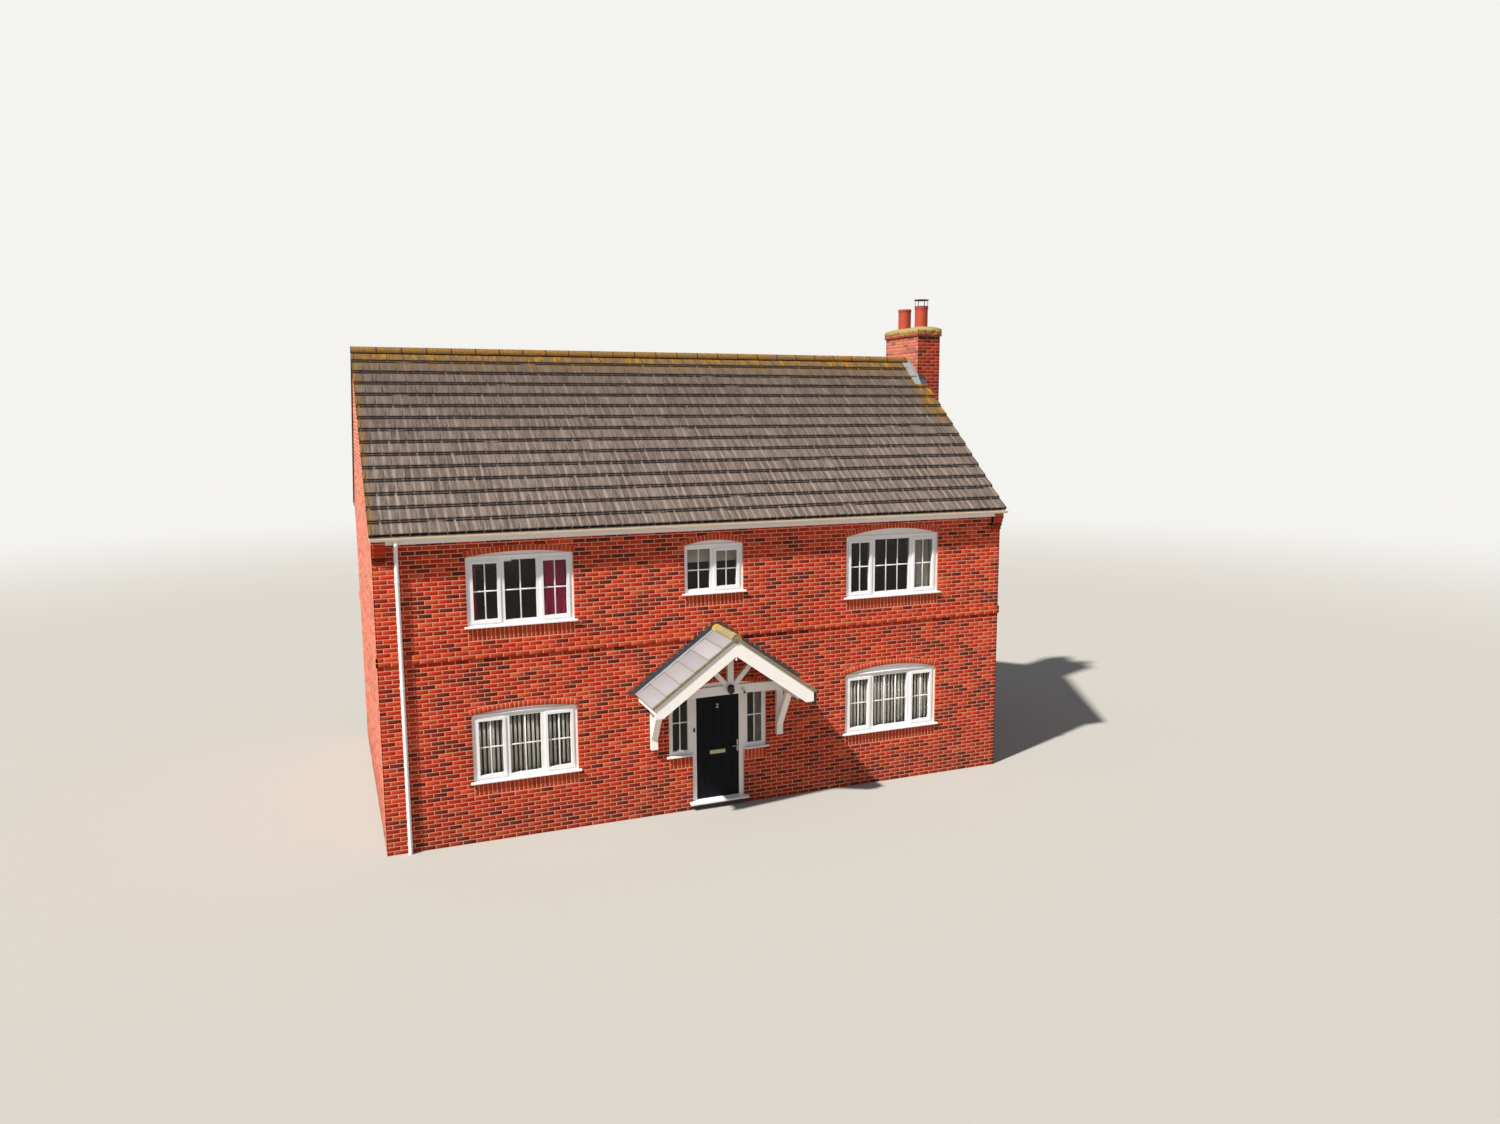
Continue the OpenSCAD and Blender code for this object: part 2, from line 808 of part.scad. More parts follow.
// Lead beside and before the stack, lying on the tiles and turned up the brick
module lead_of_slope(y_low, y_high) {
    up = lead_up;
    low = min(abs(y_low), abs(y_high));
    far = max(abs(y_low), abs(y_high)) + lead_w;
    s = y_low < 0 ? -1 : 1;
    edge = far - lead_w;
    along(stack_x - lead_w, lead_w) polygon([
        [s * far, tile_top(far)], [s * low, tile_top(low)],
        [s * low, tile_top(low) + lead_t], [s * far, tile_top(far) + lead_t]
    ]);
    along(stack_x - lead_t, lead_t) polygon([
        [s * far, tile_top(far)], [s * low, tile_top(low)],
        [s * low, tile_top(low) + up], [s * edge, tile_top(edge) + up],
        [s * (edge + lead_t), tile_top(edge) + up], [s * far, tile_top(far) + lead_t]
    ]);
    along(stack_x - lead_w, right + verge_out - stack_x + lead_w) polygon([
        [s * far, tile_top(far)], [s * edge, tile_top(edge)],
        [s * edge, tile_top(edge) + lead_t], [s * far, tile_top(far) + lead_t]
    ]);
    along(stack_x - lead_t, right + verge_out - stack_x + lead_t) polygon([
        [s * edge, tile_top(edge)], [s * edge, tile_top(edge) + up],
        [s * (edge + lead_t), tile_top(edge) + up], [s * (edge + lead_t), tile_top(edge + lead_t)]
    ]);
}

module chimney_flashing() {
    clear = ridge_r + 5;
    color(lead_grey) {
        lead_of_slope(stack_y, -clear);
        lead_of_slope(clear, stack_y + stack_d);
    }
}

// One window frame: posts, head filled up to the arch, and proud opening sashes
module window_frame(w, h, rise, small) {
    fixed_w = window_light_w(w, small);
    z0 = light_z + sash_up;
    z1 = h - head_h - sash_down;
    difference() {
        union() {
            upright(front + frame_set_back, frame_depth) intersection() {
                opening(w, h, rise);
                translate([-w / 2, sill_t]) square([w, h + rise]);
            }
            for (c = sash_centres(w, small)) upright(front + frame_set_back - sash_out, sash_out + 1)
                translate([c - sash_glass_w / 2 - sash_w, z0 - sash_w])
                    square([sash_glass_w + 2 * sash_w, z1 - z0 + 2 * sash_w]);
        }
        upright(front, frame_set_back + frame_depth + 1) {
            translate([fixed_centre(w, small) - fixed_w / 2, light_z])
                square([fixed_w, h - head_h - light_z]);
            for (c = sash_centres(w, small))
                translate([c - sash_glass_w / 2, z0]) square([sash_glass_w, z1 - z0]);
        }
    }
}

module frames_of_face() {
    for (v = WINDOWS) translate([v[0], 0, v[1]]) window_frame(v[2], v[3], v[4], v[5]);
}

module front_window_frames() {
    color(trim_white) frames_of_face();
}

module back_window_frames() {
    color(trim_white) at_back() frames_of_face();
}

module pane(c, z, w, h) {
    translate([c - w / 2, front + frame_set_back + (frame_depth - glass_t) / 2, z])
        cube([w, glass_t, h]);
}

module window_panes(w, h, small) {
    z0 = light_z + sash_up;
    pane(fixed_centre(w, small), light_z, window_light_w(w, small), h - head_h - light_z);
    for (c = sash_centres(w, small)) pane(c, z0, sash_glass_w, h - head_h - sash_down - z0);
}

module glass_of_face() {
    for (v = WINDOWS) translate([v[0], 0, v[1]]) window_panes(v[2], v[3], v[5]);
}

module front_window_glass() {
    color(glass_grey) {
        glass_of_face();
        for (s = [-1, 1])
            translate([door_x, 0, 0])
                pane(s * (door_frame_w + side_w) / 2, side_light_z, side_glass_w, side_light_h);
    }
}

module back_window_glass() {
    color(glass_grey) at_back() glass_of_face();
}

// Sill board under a frame, its nose sloped and run past the jambs
module sill(w, ear_left, ear_right) {
    along(-w / 2, w) polygon([
        [front, 0], [front + sill_back, 0], [front + sill_back, sill_t],
        [front + frame_set_back, sill_t], [front, sill_t - 6]
    ]);
    along(-w / 2 - ear_left, w + ear_left + ear_right) polygon([
        [front - sill_out, 0], [front, 0], [front, sill_t - 6], [front - sill_out, sill_t - 12]
    ]);
}

module sills_of_face() {
    for (v = WINDOWS) translate([v[0], 0, v[1]]) sill(v[2], sill_ear, sill_ear);
}

module window_sills() {
    color(trim_white) {
        sills_of_face();
        at_back() sills_of_face();
        for (s = [-1, 1])
            translate([door_x + s * (door_frame_w + side_w) / 2, 0, lower_sill_z])
                sill(side_w, s < 0 ? sill_ear : 0, s < 0 ? 0 : sill_ear);
    }
}

module entrance_outline() {
    translate([0, lower_sill_z]) intersection() {
        opening(entrance_w, entrance_spring_z - lower_sill_z, entrance_rise);
        translate([-entrance_w / 2, sill_t]) square([entrance_w, 2 * entrance_spring_z]);
    }
    translate([-door_frame_w / 2, threshold_z])
        square([door_frame_w, lower_sill_z + sill_t + 1 - threshold_z]);
}

// Frame of the entrance with its side lights; a lip in front stops the leaf
module door_frame() {
    top = entrance_spring_z - head_h;
    lip = leaf_y - leaf_gap - front - frame_set_back;
    color(trim_white) translate([door_x, 0, 0]) difference() {
        upright(front + frame_set_back, frame_depth) entrance_outline();
        upright(front, wall_t) {
            translate([-door_clear_w / 2, 0]) square([door_clear_w, top]);
            for (s = [-1, 1])
                translate([s * (door_frame_w + side_w) / 2 - side_glass_w / 2, side_light_z])
                    square([side_glass_w, side_light_h]);
        }
        upright(front + frame_set_back + lip, wall_t)
            translate([-door_clear_w / 2 - rebate, 0]) square([door_clear_w + 2 * rebate, top + rebate]);
    }
}

// Threshold board, sloped outwards, wider than the frame in front of the wall
module door_sill() {
    color(trim_white) translate([door_x, 0, 0]) {
        along(-door_frame_w / 2, door_frame_w) polygon([
            [front, ground_floor_z - sill_t], [front + sill_back, ground_floor_z - sill_t],
            [front + sill_back, threshold_z], [front + frame_set_back, threshold_z],
            [front, threshold_z - 8]
        ]);
        along(-door_frame_w / 2 - step_ear, door_frame_w + 2 * step_ear) polygon([
            [front - step_out, ground_floor_z - sill_t], [front, ground_floor_z - sill_t],
            [front, threshold_z - 8], [front - step_out, ground_floor_z - 5]
        ]);
    }
}

module panel_groove(x, z, w, h) {
    for (y = [leaf_y - 1, leaf_y + leaf_t - groove_d])
        upright(y, groove_d + 1) translate([x - w / 2, z]) difference() {
            square([w, h]);
            translate([groove_w, groove_w]) square([w - 2 * groove_w, h - 2 * groove_w]);
        }
}

module front_door() {
    upper_z = leaf_z + panel_foot + lower_panel_h + mid_rail;
    color("#1b212c") translate([door_x, 0, 0]) difference() {
        translate([-leaf_w / 2, leaf_y, leaf_z]) cube([leaf_w, leaf_t, leaf_top_z - leaf_z]);
        for (s = [-1, 1]) {
            panel_groove(s * panel_x, leaf_z + panel_foot, panel_w, lower_panel_h);
            panel_groove(s * panel_x, upper_z, panel_w, leaf_top_z - top_rail - upper_z);
        }
    }
}

module handle_side(y, s) {
    upright(min(y, y + s * plate_t), plate_t) translate([-16, -handle_plate_h / 2]) square([32, handle_plate_h]);
    translate([0, y, 0]) rotate([-90 * s, 0, 0]) cylinder(r = 9, h = lever_out, $fn = 32);
    translate([-lever_len, y + s * (lever_out - 9), 0]) rotate([0, 90, 0])
        cylinder(r = 9, h = lever_len, $fn = 32);
}

module door_handle() {
    color("#b9b5ad") translate([door_x + leaf_w / 2 - handle_in, 0, handle_z]) {
        handle_side(leaf_y, -1);
        handle_side(leaf_y + leaf_t, 1);
    }
}

module letter_plate() {
    color("#c3b48c") translate([door_x, 0, letter_z]) {
        translate([-letter_w / 2, leaf_y - 6, -letter_h / 2]) cube([letter_w, 6, letter_h]);
        translate([letter_edge - letter_w / 2, leaf_y - 10, letter_edge - letter_h / 2])
            cube([letter_w - 2 * letter_edge, 5, letter_h - 2 * letter_edge]);
    }
}

// Fixed half of each hinge: two knuckles, the pin and a plate on the frame
module door_hinges() {
    end_h = (hinge_h - knuckle_h) / 2 - hinge_slack;
    seat = front + sill_back - hinge_y;
    color("#9a9a9a") for (z = hinge_levels) translate([hinge_x, hinge_y, z]) {
        translate([0, 0, -hinge_h / 2]) cylinder(r = hinge_pin_r, h = hinge_h, $fn = 48);
        for (k = [-hinge_h / 2, knuckle_h / 2 + hinge_slack]) translate([0, 0, k]) {
            cylinder(r = hinge_r, h = end_h, $fn = 48);
            translate([-hinge_plate_w, seat, 0]) cube([hinge_plate_w, hinge_plate_t, end_h]);
            translate([-hinge_r, seat, 0]) cube([hinge_r, -seat, end_h]);
        }
    }
}

// Moving half: one knuckle on the pin with a plate on the inner face of the leaf
module door_knuckles() {
    seat = leaf_y + leaf_t - hinge_y;
    color("#9a9a9a") for (z = hinge_levels) translate([hinge_x, hinge_y, z - knuckle_h / 2]) difference() {
        union() {
            cylinder(r = hinge_r, h = knuckle_h, $fn = 48);
            translate([plate_from_pin, seat, 0]) cube([hinge_r - plate_from_pin, -seat, knuckle_h]);
            translate([plate_from_pin, seat, 0]) cube([hinge_plate_w, hinge_plate_t, knuckle_h]);
        }
        translate([0, 0, -hinge_over]) cylinder(r = hinge_pin_r + hinge_bore, h = knuckle_h + 2 * hinge_over, $fn = 48);
    }
}

module doorbell() {
    color("#16171a") translate([door_x - door_frame_w / 2 + 44, front + frame_set_back - 18, bell_z - 36])
        translate([-15, 0, 0]) cube([30, 18, 72]);
}

module porch_place() {
    translate([porch_x, 0, 0]) children();
}

// Porch roof outline: stepped slab rows from both eaves to the ridge
module porch_slab_outline() {
    t = porch_t / cos(porch_pitch);
    lip = slab_lip / cos(porch_pitch);
    dx = porch_half_w / porch_rows;
    edge = porch_t * sin(porch_pitch);
    polygon(concat(
        [for (i = [0 : porch_rows - 1], k = [0, 1])
            let (x = -porch_half_w + (i + k) * dx)
            [x, porch_top_z + x * porch_slope - (k == 1 ? lip : 0)]],
        [for (i = [porch_rows - 1 : -1 : 0], k = [1, 0])
            let (x = porch_half_w - (i + k) * dx)
            [x, porch_top_z - x * porch_slope - (k == 1 ? lip : 0)]],
        [[porch_half_w - edge, porch_top_z - (porch_half_w - edge) * porch_slope - t],
         [0, porch_top_z - t],
         [-porch_half_w + edge, porch_top_z - (porch_half_w - edge) * porch_slope - t]]
    ));
}

module porch_slabs() {
    color("#c6c0b6") porch_place() upright(front - porch_out, porch_out) porch_slab_outline();
}

module porch_ridge_tiles() {
    len = (porch_out - ridge_gap) / 2;
    color("#b3a15c") porch_place() for (i = [0, 1])
        upright(front - porch_out + i * (len + ridge_gap), len)
            ridge_outline(porch_ridge_r, ridge_t, porch_top_z, porch_slope, porch_ridge_up,
                slab_lip / cos(porch_pitch), porch_half_w / porch_rows);
}

// Region under the slabs, down a given square depth
module under_slabs(depth, reach) {
    t = porch_under_z;
    v = depth / cos(porch_pitch);
    polygon([
        [-reach, t - reach * porch_slope], [0, t], [reach, t - reach * porch_slope],
        [reach, t - v - reach * porch_slope], [0, t - v], [-reach, t - v - reach * porch_slope]
    ]);
}

function tie_under(x, reach) = tie_z - tie_camber * x * x / (reach * reach);

// Tie beam with its light camber, square on top of the brackets
module tie_outline(reach) {
    spread = [for (i = [-5 : 5]) reach * i / 5];
    polygon(concat(
        [for (x = spread) [x, tie_under(x, reach)]],
        [for (x = spread) [-x, tie_under(x, reach) + tie_h]]
    ));
}

// Truss under the slabs: two rafters, the tie beam, a centre post and two struts
module porch_truss() {
    reach = bracket_half + bracket_w / 2;
    t = porch_under_z;
    foot = tie_z + tie_h / 2;
    y0 = front - truss_y - truss_t;
    color(trim_white) porch_place() intersection() {
        union() {
            upright(y0, truss_t) under_slabs(rafter_h, reach);
            upright(y0, truss_t) tie_outline(reach);
            upright(y0, truss_t) translate([-king_w / 2, foot]) square([king_w, t - foot]);
            for (s = [-1, 1])
                upright(y0, truss_t)
                    bar(0, foot, s * reach * cos(strut_slope), foot + reach * sin(strut_slope), strut_w);
        }
        upright(y0, truss_t) polygon([
            [-reach, tie_z - tie_camber], [reach, tie_z - tie_camber], [reach, t - reach * porch_slope],
            [0, t], [-reach, t - reach * porch_slope]
        ]);
    }
}

module barge_outline() {
    intersection() {
        under_slabs(barge_h, porch_tip_x);
        translate([-porch_tip_x, porch_tip_z - barge_tip]) square([2 * porch_tip_x, porch_under_z]);
    }
}

// Sloping front boards, the turned drop at the top and the boards along the sides
module porch_barge_boards() {
    y0 = front - porch_out + barge_in;
    t = porch_under_z;
    tip_x = porch_tip_x;
    v = barge_h / cos(porch_pitch);
    color(trim_white) porch_place() {
        upright(y0, barge_t) barge_outline();
        translate([0, y0 + barge_t / 2, t - v - 55]) cylinder(r = 14, h = 60, $fn = 32);
        translate([0, y0 + barge_t / 2, t - v - 60]) sphere(r = 18, $fn = 32);
        for (s = [-1, 1])
            upright(y0 + barge_t - 1, front - y0 - barge_t + 1) polygon([
                [s * tip_x, t - tip_x * porch_slope],
                [s * (tip_x - side_board_t), t - (tip_x - side_board_t) * porch_slope],
                [s * (tip_x - side_board_t), t - tip_x * porch_slope - side_board_h],
                [s * tip_x, t - tip_x * porch_slope - side_board_h]
            ]);
    }
}

// Wall bracket: post on the wall, beam under the truss and a sloping brace
module porch_brackets() {
    beam_z1 = tie_z - tie_camber;
    beam_z0 = beam_z1 - bracket_w;
    y_end = front - porch_out + barge_in + barge_t;
    color(trim_white) porch_place() for (s = [-1, 1])
        along(s * bracket_half - bracket_w / 2, bracket_w) {
            translate([front - bracket_t, bracket_foot_z]) square([bracket_t, beam_z1 - bracket_foot_z]);
            translate([y_end, beam_z0]) square([front - y_end, beam_z1 - beam_z0]);
            intersection() {
                bar(front - bracket_t / 2, bracket_foot_z + brace_foot_up, front - brace_reach, beam_z1 - 40, bracket_t);
                translate([y_end, bracket_foot_z]) square([front - y_end, beam_z1 - bracket_foot_z]);
            }
        }
}

// Lead stepped up course by course where the porch meets the wall
module porch_flashing() {
    first = ceil((porch_top_z - porch_half_w * porch_slope) / course);
    last = floor((porch_top_z + flashing_h) / course);
    color(lead_grey) porch_place() upright(front - lead_t, lead_t) difference() {
        for (k = [first : last - 1])
            translate([-lead_half(k), k * course]) square([2 * lead_half(k), course + 0.01]);
        polygon([
            [-lead_reach, porch_top_z - lead_reach * porch_slope], [0, porch_top_z],
            [lead_reach, porch_top_z - lead_reach * porch_slope]
        ]);
        translate([0, porch_top_z + porch_ridge_up - porch_ridge_r]) circle(porch_ridge_r, $fn = 96);
    }
}

// Black lantern on the middle of the tie beam
module porch_lantern() {
    color("#202022") porch_place() translate([0, front - truss_y - truss_t, tie_z + 90]) {
        translate([-lantern_w / 2, -12, -lantern_h / 2]) cube([lantern_w, 12, lantern_h]);
        translate([-8, -70, 30]) cube([16, 60, 12]);
        translate([0, -lantern_out, -lantern_drop]) cylinder(r1 = 35, r2 = 55, h = lantern_h, $fn = 6);
        translate([0, -lantern_out, 30]) cylinder(r1 = 62, r2 = 15, h = 45, $fn = 6);
    }
}

// Small cameras: one on the tie beam, one on the right-hand end of the porch
module security_cameras() {
    color("#e8e8e6") porch_place() translate([tie_camera_x, front - truss_y - truss_t, tie_z + 60]) {
        translate([-22, -8, -22]) cube([44, 8, 44]);
        translate([0, 0, 0]) rotate([90, 0, 0]) cylinder(r = 24, h = 90, $fn = 48);
    }
    color("#26272a") porch_place() translate([porch_tip_x, front - porch_out + 60, porch_tip_z - camera_drop]) {
        translate([0, -20, 0]) cube([40, 40, camera_h]);
        translate([38, 0, -15]) sphere(r = camera_r, $fn = 48);
    }
}

front_wall_left();
front_wall_right();
front_wall_over_door();
back_wall();
left_gable_wall();
right_gable_wall();
ground_floor();
upper_floor();
string_course();
window_arches();
soldier_courses();
kneelers();
roof_front_slope();
roof_back_slope();
ridge_tiles();
eaves_boards();
gutters();
downpipes();
chimney_stack();
chimney_cap();
chimney_pots();
chimney_cowl();
chimney_flashing();
front_window_frames();
back_window_frames();
front_window_glass();
back_window_glass();
window_sills();
door_frame();
door_sill();
front_door();
door_handle();
letter_plate();
door_hinges();
door_knuckles();
doorbell();
porch_slabs();
porch_ridge_tiles();
porch_truss();
porch_barge_boards();
porch_brackets();
porch_flashing();
porch_lantern();
security_cameras();
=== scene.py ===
# Detached brick house with a tiled gable roof, an end chimney and a timber porch.
# The solids come from the frame; each section finishes one piece of the house or a
# group of like pieces, in the order in which a builder would put them up.
import functools
import math
import bpy
import numpy as np
from mathutils import Matrix, Vector


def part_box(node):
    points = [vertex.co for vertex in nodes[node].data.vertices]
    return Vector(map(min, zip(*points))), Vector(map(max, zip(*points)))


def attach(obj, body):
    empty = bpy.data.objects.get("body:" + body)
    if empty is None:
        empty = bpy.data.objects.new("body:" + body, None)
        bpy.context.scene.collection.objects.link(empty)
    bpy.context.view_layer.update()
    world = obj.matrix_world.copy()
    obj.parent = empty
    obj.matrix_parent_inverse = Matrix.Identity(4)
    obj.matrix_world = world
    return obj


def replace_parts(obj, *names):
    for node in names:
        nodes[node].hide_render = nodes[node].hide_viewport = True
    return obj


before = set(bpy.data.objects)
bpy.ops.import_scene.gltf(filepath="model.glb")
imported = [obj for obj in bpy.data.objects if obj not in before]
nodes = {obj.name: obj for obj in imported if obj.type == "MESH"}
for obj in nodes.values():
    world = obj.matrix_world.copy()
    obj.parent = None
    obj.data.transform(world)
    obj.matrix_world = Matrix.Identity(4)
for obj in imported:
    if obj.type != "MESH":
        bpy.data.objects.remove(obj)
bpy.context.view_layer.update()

# The camera hangs a little over seven metres up, in front of the left half of the
# house, as the photograph was taken: a moderately wide lens, tilted gently down.
camera_data = bpy.data.cameras.new("camera")
camera_data.lens = 25.21
camera_data.sensor_width = 36
camera_data.clip_end = 500
camera = bpy.data.objects.new("camera", camera_data)
camera.matrix_world = Matrix((
    (0.925497, 0.056259, -0.374554, -6.704),
    (-0.378736, 0.127366, -0.916699, -21.308),
    (-0.003867, 0.990259, 0.139184, 7.276),
    (0, 0, 0, 1),
))
bpy.context.scene.collection.objects.link(camera)
bpy.context.scene.camera = camera
bpy.context.scene.view_settings.view_transform = "Standard"


# The studio: a wide pale floor that fades into an even pale background, a broad soft
# key light from the left and in front, high up, and an even fill from all round.
def tone(code):
    """Linear colour of an sRGB hex value, channel by channel with the sRGB curve."""
    c = np.array([int(code[i:i + 2], 16) for i in (1, 3, 5)]) / 255
    return (*np.where(c <= 0.04045, c / 12.92, ((c + 0.055) / 1.055) ** 2.4), 1)


def add_node(tree, kind, *first, **named):
    """Adds one shader node. What comes first goes to its sockets in their order, the
    rest to the setting or socket of that name: a value, a hex colour or a link."""
    node = tree.nodes.new("ShaderNode" + kind)
    for key, value in (*enumerate(first), *named.items()):
        if key in named and hasattr(node, key):
            setattr(node, key, value)
            continue
        socket = node.inputs[key.replace("_", " ") if key in named else key]
        if isinstance(value, bpy.types.Node):
            value = value.outputs[0]
        if isinstance(value, bpy.types.NodeSocket):
            tree.links.new(value, socket)
        else:
            socket.default_value = tone(value) if isinstance(value, str) else value
    return node


def start(name):
    """An empty node material, its own way to add a node, and the piece's coordinates
    in metres."""
    material = bpy.data.materials.new(name)
    material.use_nodes = True
    material.node_tree.nodes.clear()
    add = functools.partial(add_node, material.node_tree)
    return material, add, add("TexCoord").outputs["Object"]


def mesh_of(name, points, faces, smooth=False, **attributes):
    """A mesh object from an array of points, arrays of faces of one size each, and
    values to keep at the points."""
    mesh = bpy.data.meshes.new(name)
    mesh.vertices.add(len(points))
    mesh.vertices.foreach_set("co", np.asarray(points, np.float32).ravel())
    sizes = np.concatenate([np.full(len(f), f.shape[1]) for f in faces])
    corners = np.concatenate([f.ravel() for f in faces])
    mesh.loops.add(len(corners))
    mesh.loops.foreach_set("vertex_index", corners.astype(np.int32))
    mesh.polygons.add(len(sizes))
    mesh.polygons.foreach_set("loop_start", (np.cumsum(sizes) - sizes).astype(np.int32))
    mesh.update(calc_edges=True)
    mesh.validate()
    if smooth:
        mesh.polygons.foreach_set("use_smooth", np.ones(len(sizes), bool))
    for key, values in attributes.items():
        kept = mesh.attributes.new(key, "FLOAT", "POINT")
        kept.data.foreach_set("value", np.asarray(values, np.float32))
    piece = bpy.data.objects.new(name, mesh)
    bpy.context.scene.collection.objects.link(piece)
    return piece


backdrop = "#f4f3f0"
floor_half = 240
floor_paint, add, place = start("pale_matt_floor_paint")
eye = add("LightPath").outputs["Is Camera Ray"]
paint = add("MixRGB", eye, "#968f85", "#a19f9b")
flat = add("BsdfDiffuse", Color=paint)
glow = add("Emission", Color=backdrop)
reach = add("VectorMath", place, operation="LENGTH").outputs["Value"]
fade = add("MapRange", reach, 22, 60, interpolation_type="SMOOTHSTEP")
add("OutputMaterial", add("MixShader", fade, flat, glow))
rim = np.array([(-1, -1, 0), (1, -1, 0), (1, 1, 0), (-1, 1, 0)]) * floor_half
floor = mesh_of("floor", rim, [np.array([[0, 1, 2, 3]])])
floor.data.materials.append(floor_paint)

world = bpy.data.worlds.new("studio")
world.use_nodes = True
world.node_tree.nodes.clear()
add = functools.partial(add_node, world.node_tree)
ray = add("LightPath").outputs
looked_at = add("Math", ray["Is Camera Ray"], ray["Is Transmission Ray"], operation="MAXIMUM")
fill = add("Background", Color="#eef2fb", Strength=0.36)
seen = add("Background", Color=backdrop, Strength=1)
add("OutputWorld", add("MixShader", looked_at, fill, seen))
bpy.context.scene.world = world
key_data = bpy.data.lights.new("key", "SUN")
key_data.energy = 7.2
key_data.angle = math.radians(2)
key_data.color = (1.0, 0.96, 0.89)
key = bpy.data.objects.new("key", key_data)
key.rotation_euler = Vector((0.60, 0.245, -0.76)).to_track_quat("-Z", "Y").to_euler()
bpy.context.scene.collection.objects.link(key)

# Outer walls: rough facing bricks of 215 by 65 mm in stretcher bond with 10 mm joints.
# The wall solids carry the mortar; each brick is a chamfered slab let into them and
# standing 1.4 mm proud, with its own shade as fired. The insides are plastered.
brick_l, brick_h, joint = 0.215, 0.065, 0.010
pitch_u, course = brick_l + joint, brick_h + joint
proud, chamfer, bedded = 0.0014, 0.0025, 0.012
wall_low, wall_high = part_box("left_gable_wall")
left_x, front_y, back_y = wall_low.x, wall_low.y, wall_high.y
right_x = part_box("right_gable_wall")[1].x
house_l, house_d = right_x - left_x, back_y - front_y
rng = np.random.default_rng(7)


def dress(material, *names):
    """Gives CAD nodes a finish in place of their plain one."""
    for name in names:
        nodes[name].data.materials.clear()
        nodes[name].data.materials.append(material)


def fit(piece, material, body="house"):
    """Gives a new piece its finish and the body it rides on."""
    piece.data.materials.append(material)
    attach(piece, body)
    return piece


def joined(name, solids, **attributes):
    """One mesh of several solids, each of them its points and its arrays of faces."""
    starts = np.cumsum([0] + [len(points) for points, faces in solids])
    faces = [f + at for at, solid in zip(starts, solids) for f in solid[1]]
    return mesh_of(name, np.concatenate([points for points, faces in solids]), faces, **attributes)


def ring_faces(rings, k, copies=1):
    """Faces of closed solids built of rings of k points, numbered ring by ring: points
    j and j + 1 of a ring go with the same two of the next ring, and the first and the
    last ring are each closed by one face."""
    ring = np.arange(rings * k).reshape(rings, k)
    beside = np.roll(ring, -1, 1)
    quads = np.stack([ring[:-1], beside[:-1], beside[1:], ring[1:]], -1).reshape(-1, 4)
    first = ring.size * np.arange(copies)[:, None, None]
    return [(first + f).reshape(-1, f.shape[1]) for f in (quads, np.stack([ring[0, ::-1], ring[-1]]))]


def prisms(outlines, base, out, back, edge):
    """Chamfered slabs from convex outlines (n, k, 2) on a wall's base (origin, U, Z, N).
    Rings of points: back, shoulder and face. The face ring is each corner moved in by
    edge (n1 + n2) / (1 + n1.n2), where n1 and n2 are the inward normals of its sides."""
    n, k, _ = outlines.shape
    side = np.roll(outlines, -1, 1) - outlines
    side = side / np.linalg.norm(side, axis=2, keepdims=True)
    inward = np.stack([-side[..., 1], side[..., 0]], -1)
    before = np.roll(inward, 1, 1)
    face = outlines + edge * (inward + before) / (1 + (inward * before).sum(2, keepdims=True))
    out = np.broadcast_to(np.asarray(out, float).reshape(-1, 1), (n, k))
    origin, across, up, normal = (np.asarray(v, float) for v in base)
    points = np.stack([
        origin + flat[..., :1] * across + flat[..., 1:] * up + depth[..., None] * normal
        for flat, depth in ((outlines, out * 0 - back), (outlines, out - edge), (face, out))], 1)
    return points.reshape(-1, 3), ring_faces(3, k, n)


def slabs(name, groups, base, out=proud, back=bedded, edge=chamfer):
    """One mesh of many slabs: groups is a list of (outlines, shades)."""
    shades = [np.repeat(np.broadcast_to(s, len(o)), 3 * o.shape[1]) for o, s in groups]
    solids = [prisms(o, base, out, back, edge) for o, s in groups]
    return joined(name, solids, shade=np.concatenate(shades))


def boxes(cells):
    """Outlines (n, 4, 2) of rectangles given as rows of u0, u1, z0, z1."""
    return np.asarray(cells, float)[:, [[0, 2], [1, 2], [1, 3], [0, 3]]]


def fired_bricks(cells, most=1):
    """A group of bricks as rows of u0, u1, z0, z1, each with its own shade as fired."""
    return [(boxes(cells), most * rng.random(len(cells)))]


def nowhere(z0, z1):
    """Spans without bricks at a course from z0 to z1 of a plain wall: none."""
    return []


def bonded(run, first, last, half_on_even, holes=nowhere, past=lambda k: proud):
    """Bricks of a wall of stretcher bond: rows of u0, u1, z0, z1, course by course,
    with every course starting on a whole or a half brick in turn and cut at holes. The
    bricks at both ends reach past the corner."""
    rows = []
    for k in range(first, last):
        shift = -pitch_u / 2 if (k % 2 == 0) == half_on_even else 0
        a = shift + pitch_u * np.arange(int(run / pitch_u) + 2)
        z0 = k * course + joint / 2
        z1 = z0 + brick_h
        parts = np.stack([np.maximum(a, 0), np.minimum(a + brick_l, run)], 1)
        for h0, h1 in holes(z0, z1):
            parts = np.concatenate([
                np.stack([parts[:, 0], np.minimum(parts[:, 1], h0)], 1),
                np.stack([np.maximum(parts[:, 0], h1), parts[:, 1]], 1)])
        parts = parts[parts[:, 1] - parts[:, 0] > 0.02]
        parts[parts[:, 0] < 1e-6, 0] -= past(k)
        parts[parts[:, 1] > run - 1e-6, 1] += past(k)
        rows.append(np.column_stack([parts, np.full(len(parts), z0), np.full(len(parts), z1)]))
    return np.concatenate(rows)


